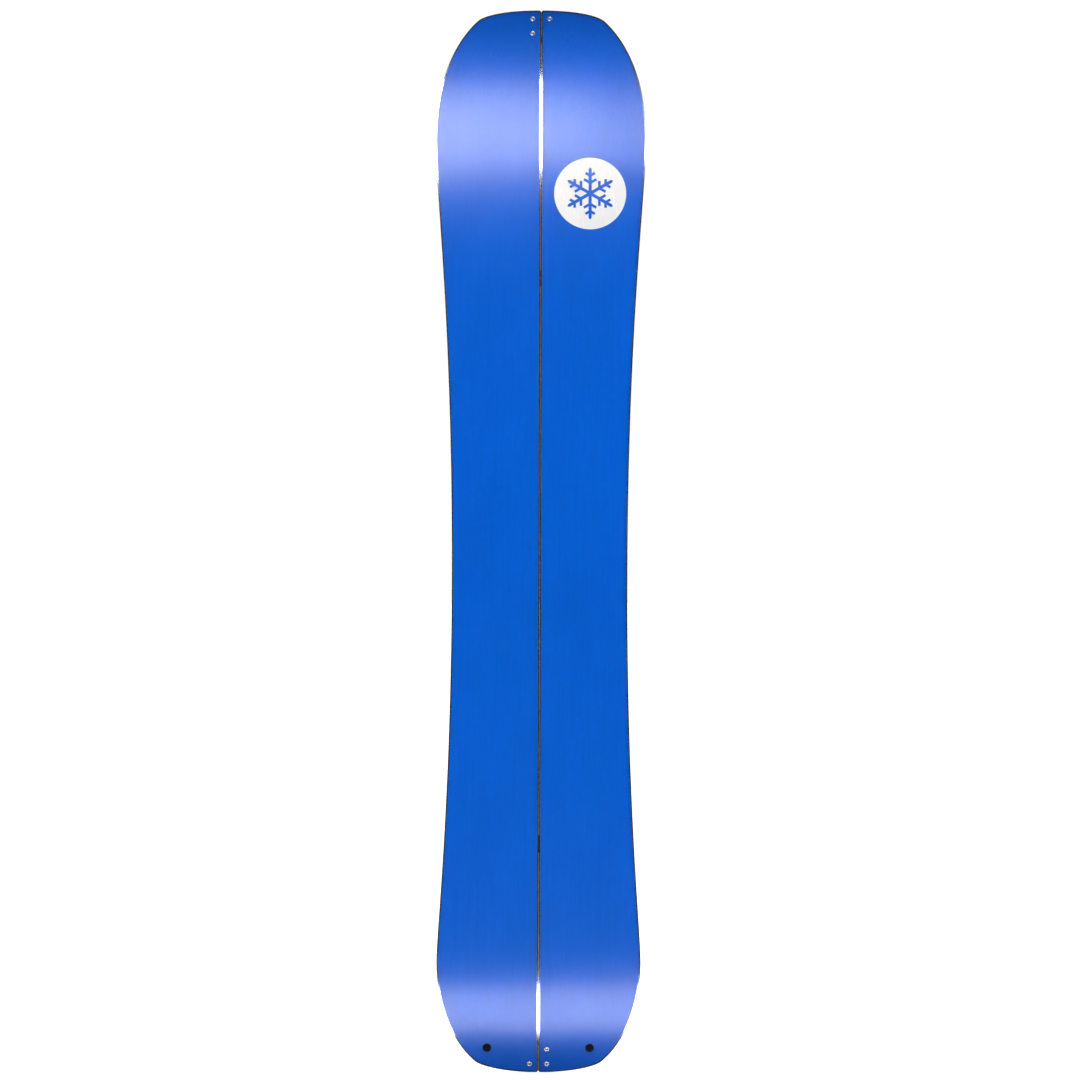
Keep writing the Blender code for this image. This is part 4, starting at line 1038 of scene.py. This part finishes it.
bpy.ops.mesh.primitive_circle_add(vertices=96, radius=60.0, fill_type="NGON", location=(0, 0, 0))
floor = bpy.context.object
floor.name = "studio_floor"
floor.visible_diffuse = floor.visible_glossy = floor.visible_transmission = floor.visible_shadow = False
floor_mat = bpy.data.materials.new("pale_floor")
floor_mat.use_nodes = True
tree = floor_mat.node_tree
paint = tree.nodes["Principled BSDF"]
paint.inputs["Roughness"].default_value = 0.9
paint.inputs["Specular IOR Level"].default_value = 0.0
coords = tree.nodes.new("ShaderNodeTexCoord")
grain = tree.nodes.new("ShaderNodeTexNoise")
grain.inputs["Scale"].default_value = 900.0
tree.links.new(coords.outputs["Object"], grain.inputs["Vector"])
shades = tree.nodes.new("ShaderNodeValToRGB")
shades.color_ramp.elements[0].color = (0.90, 0.90, 0.90, 1)
shades.color_ramp.elements[1].color = (0.94, 0.94, 0.94, 1)
tree.links.new(grain.outputs["Fac"], shades.inputs["Fac"])
tree.links.new(shades.outputs["Color"], paint.inputs["Base Color"])
paint.inputs["Emission Color"].default_value = (1, 1, 1, 1)
paint.inputs["Emission Strength"].default_value = 0.62
floor.data.materials.append(floor_mat)


def softbox(name, location, target, width, height, radiance, diffuse=True, glossy=True, spread=180, roll=0):
    """Rectangular light with a given brightness per unit area and angle; roll lifts its right side."""
    light = bpy.data.lights.new(name, "AREA")
    light.shape, light.size, light.size_y = "RECTANGLE", width, height
    light.energy = radiance * pi * width * height
    light.spread = radians(spread)
    obj = bpy.data.objects.new(name, light)
    bpy.context.scene.collection.objects.link(obj)
    obj.location = location
    facing = (Vector(target) - Vector(location)).to_track_quat("-Z", "Y").to_matrix()
    obj.rotation_euler = (Matrix.Rotation(radians(-roll), 3, "Y") @ facing).to_euler()
    obj.visible_camera = False
    obj.visible_diffuse, obj.visible_glossy = diffuse, glossy
    return obj


MIDDLE = 0.78
# two wide strips in front, above and below the view line: they show in the nose and tail bends
softbox("upper_strip", (-0.57, -2.53, MIDDLE + 1.545), (-0.57, 0, MIDDLE + 1.545), 1.5, 0.80, 12.9, diffuse=False, roll=19)
softbox("lower_strip", (0, -2.53, MIDDLE - 1.628), (0, 0, MIDDLE - 1.628), 3.4, 0.73, 8.1, diffuse=False, roll=9)
# gridded softboxes at both sides light the flat of the board and fall off towards its ends
softbox("side_left", (-2.27, -1.06, MIDDLE), (0, 0, MIDDLE), 0.6, 1.518, 0.80, glossy=False, spread=4)
softbox("side_right", (2.27, -1.06, MIDDLE), (0, 0, MIDDLE), 0.6, 1.518, 0.80, glossy=False, spread=4)
# light for the topsheet side
softbox("back_upper", (0.4, 2.6, 2.9), (0, 0, 0.9), 2.4, 1.2, 4.0)
softbox("back_side", (-2.6, 1.6, 1.2), (0, 0, 0.8), 0.9, 1.8, 3.0)

scene = bpy.context.scene
scene.view_settings.view_transform = "Standard"
scene.view_settings.look = "None"

camera_data = bpy.data.cameras.new("camera")
camera_data.sensor_width = 36.0
CAMERA_BACK = 8.0
camera_data.lens = 36.0 * (CAMERA_BACK - 0.03) / 1.5749
camera_data.clip_end = 200.0
camera = bpy.data.objects.new("camera", camera_data)
scene.collection.objects.link(camera)
camera.location = (0.0004, -CAMERA_BACK, 0.7782)
camera.rotation_euler = (pi / 2, radians(-0.174), 0.0)
scene.camera = camera

bpy.context.view_layer.update()
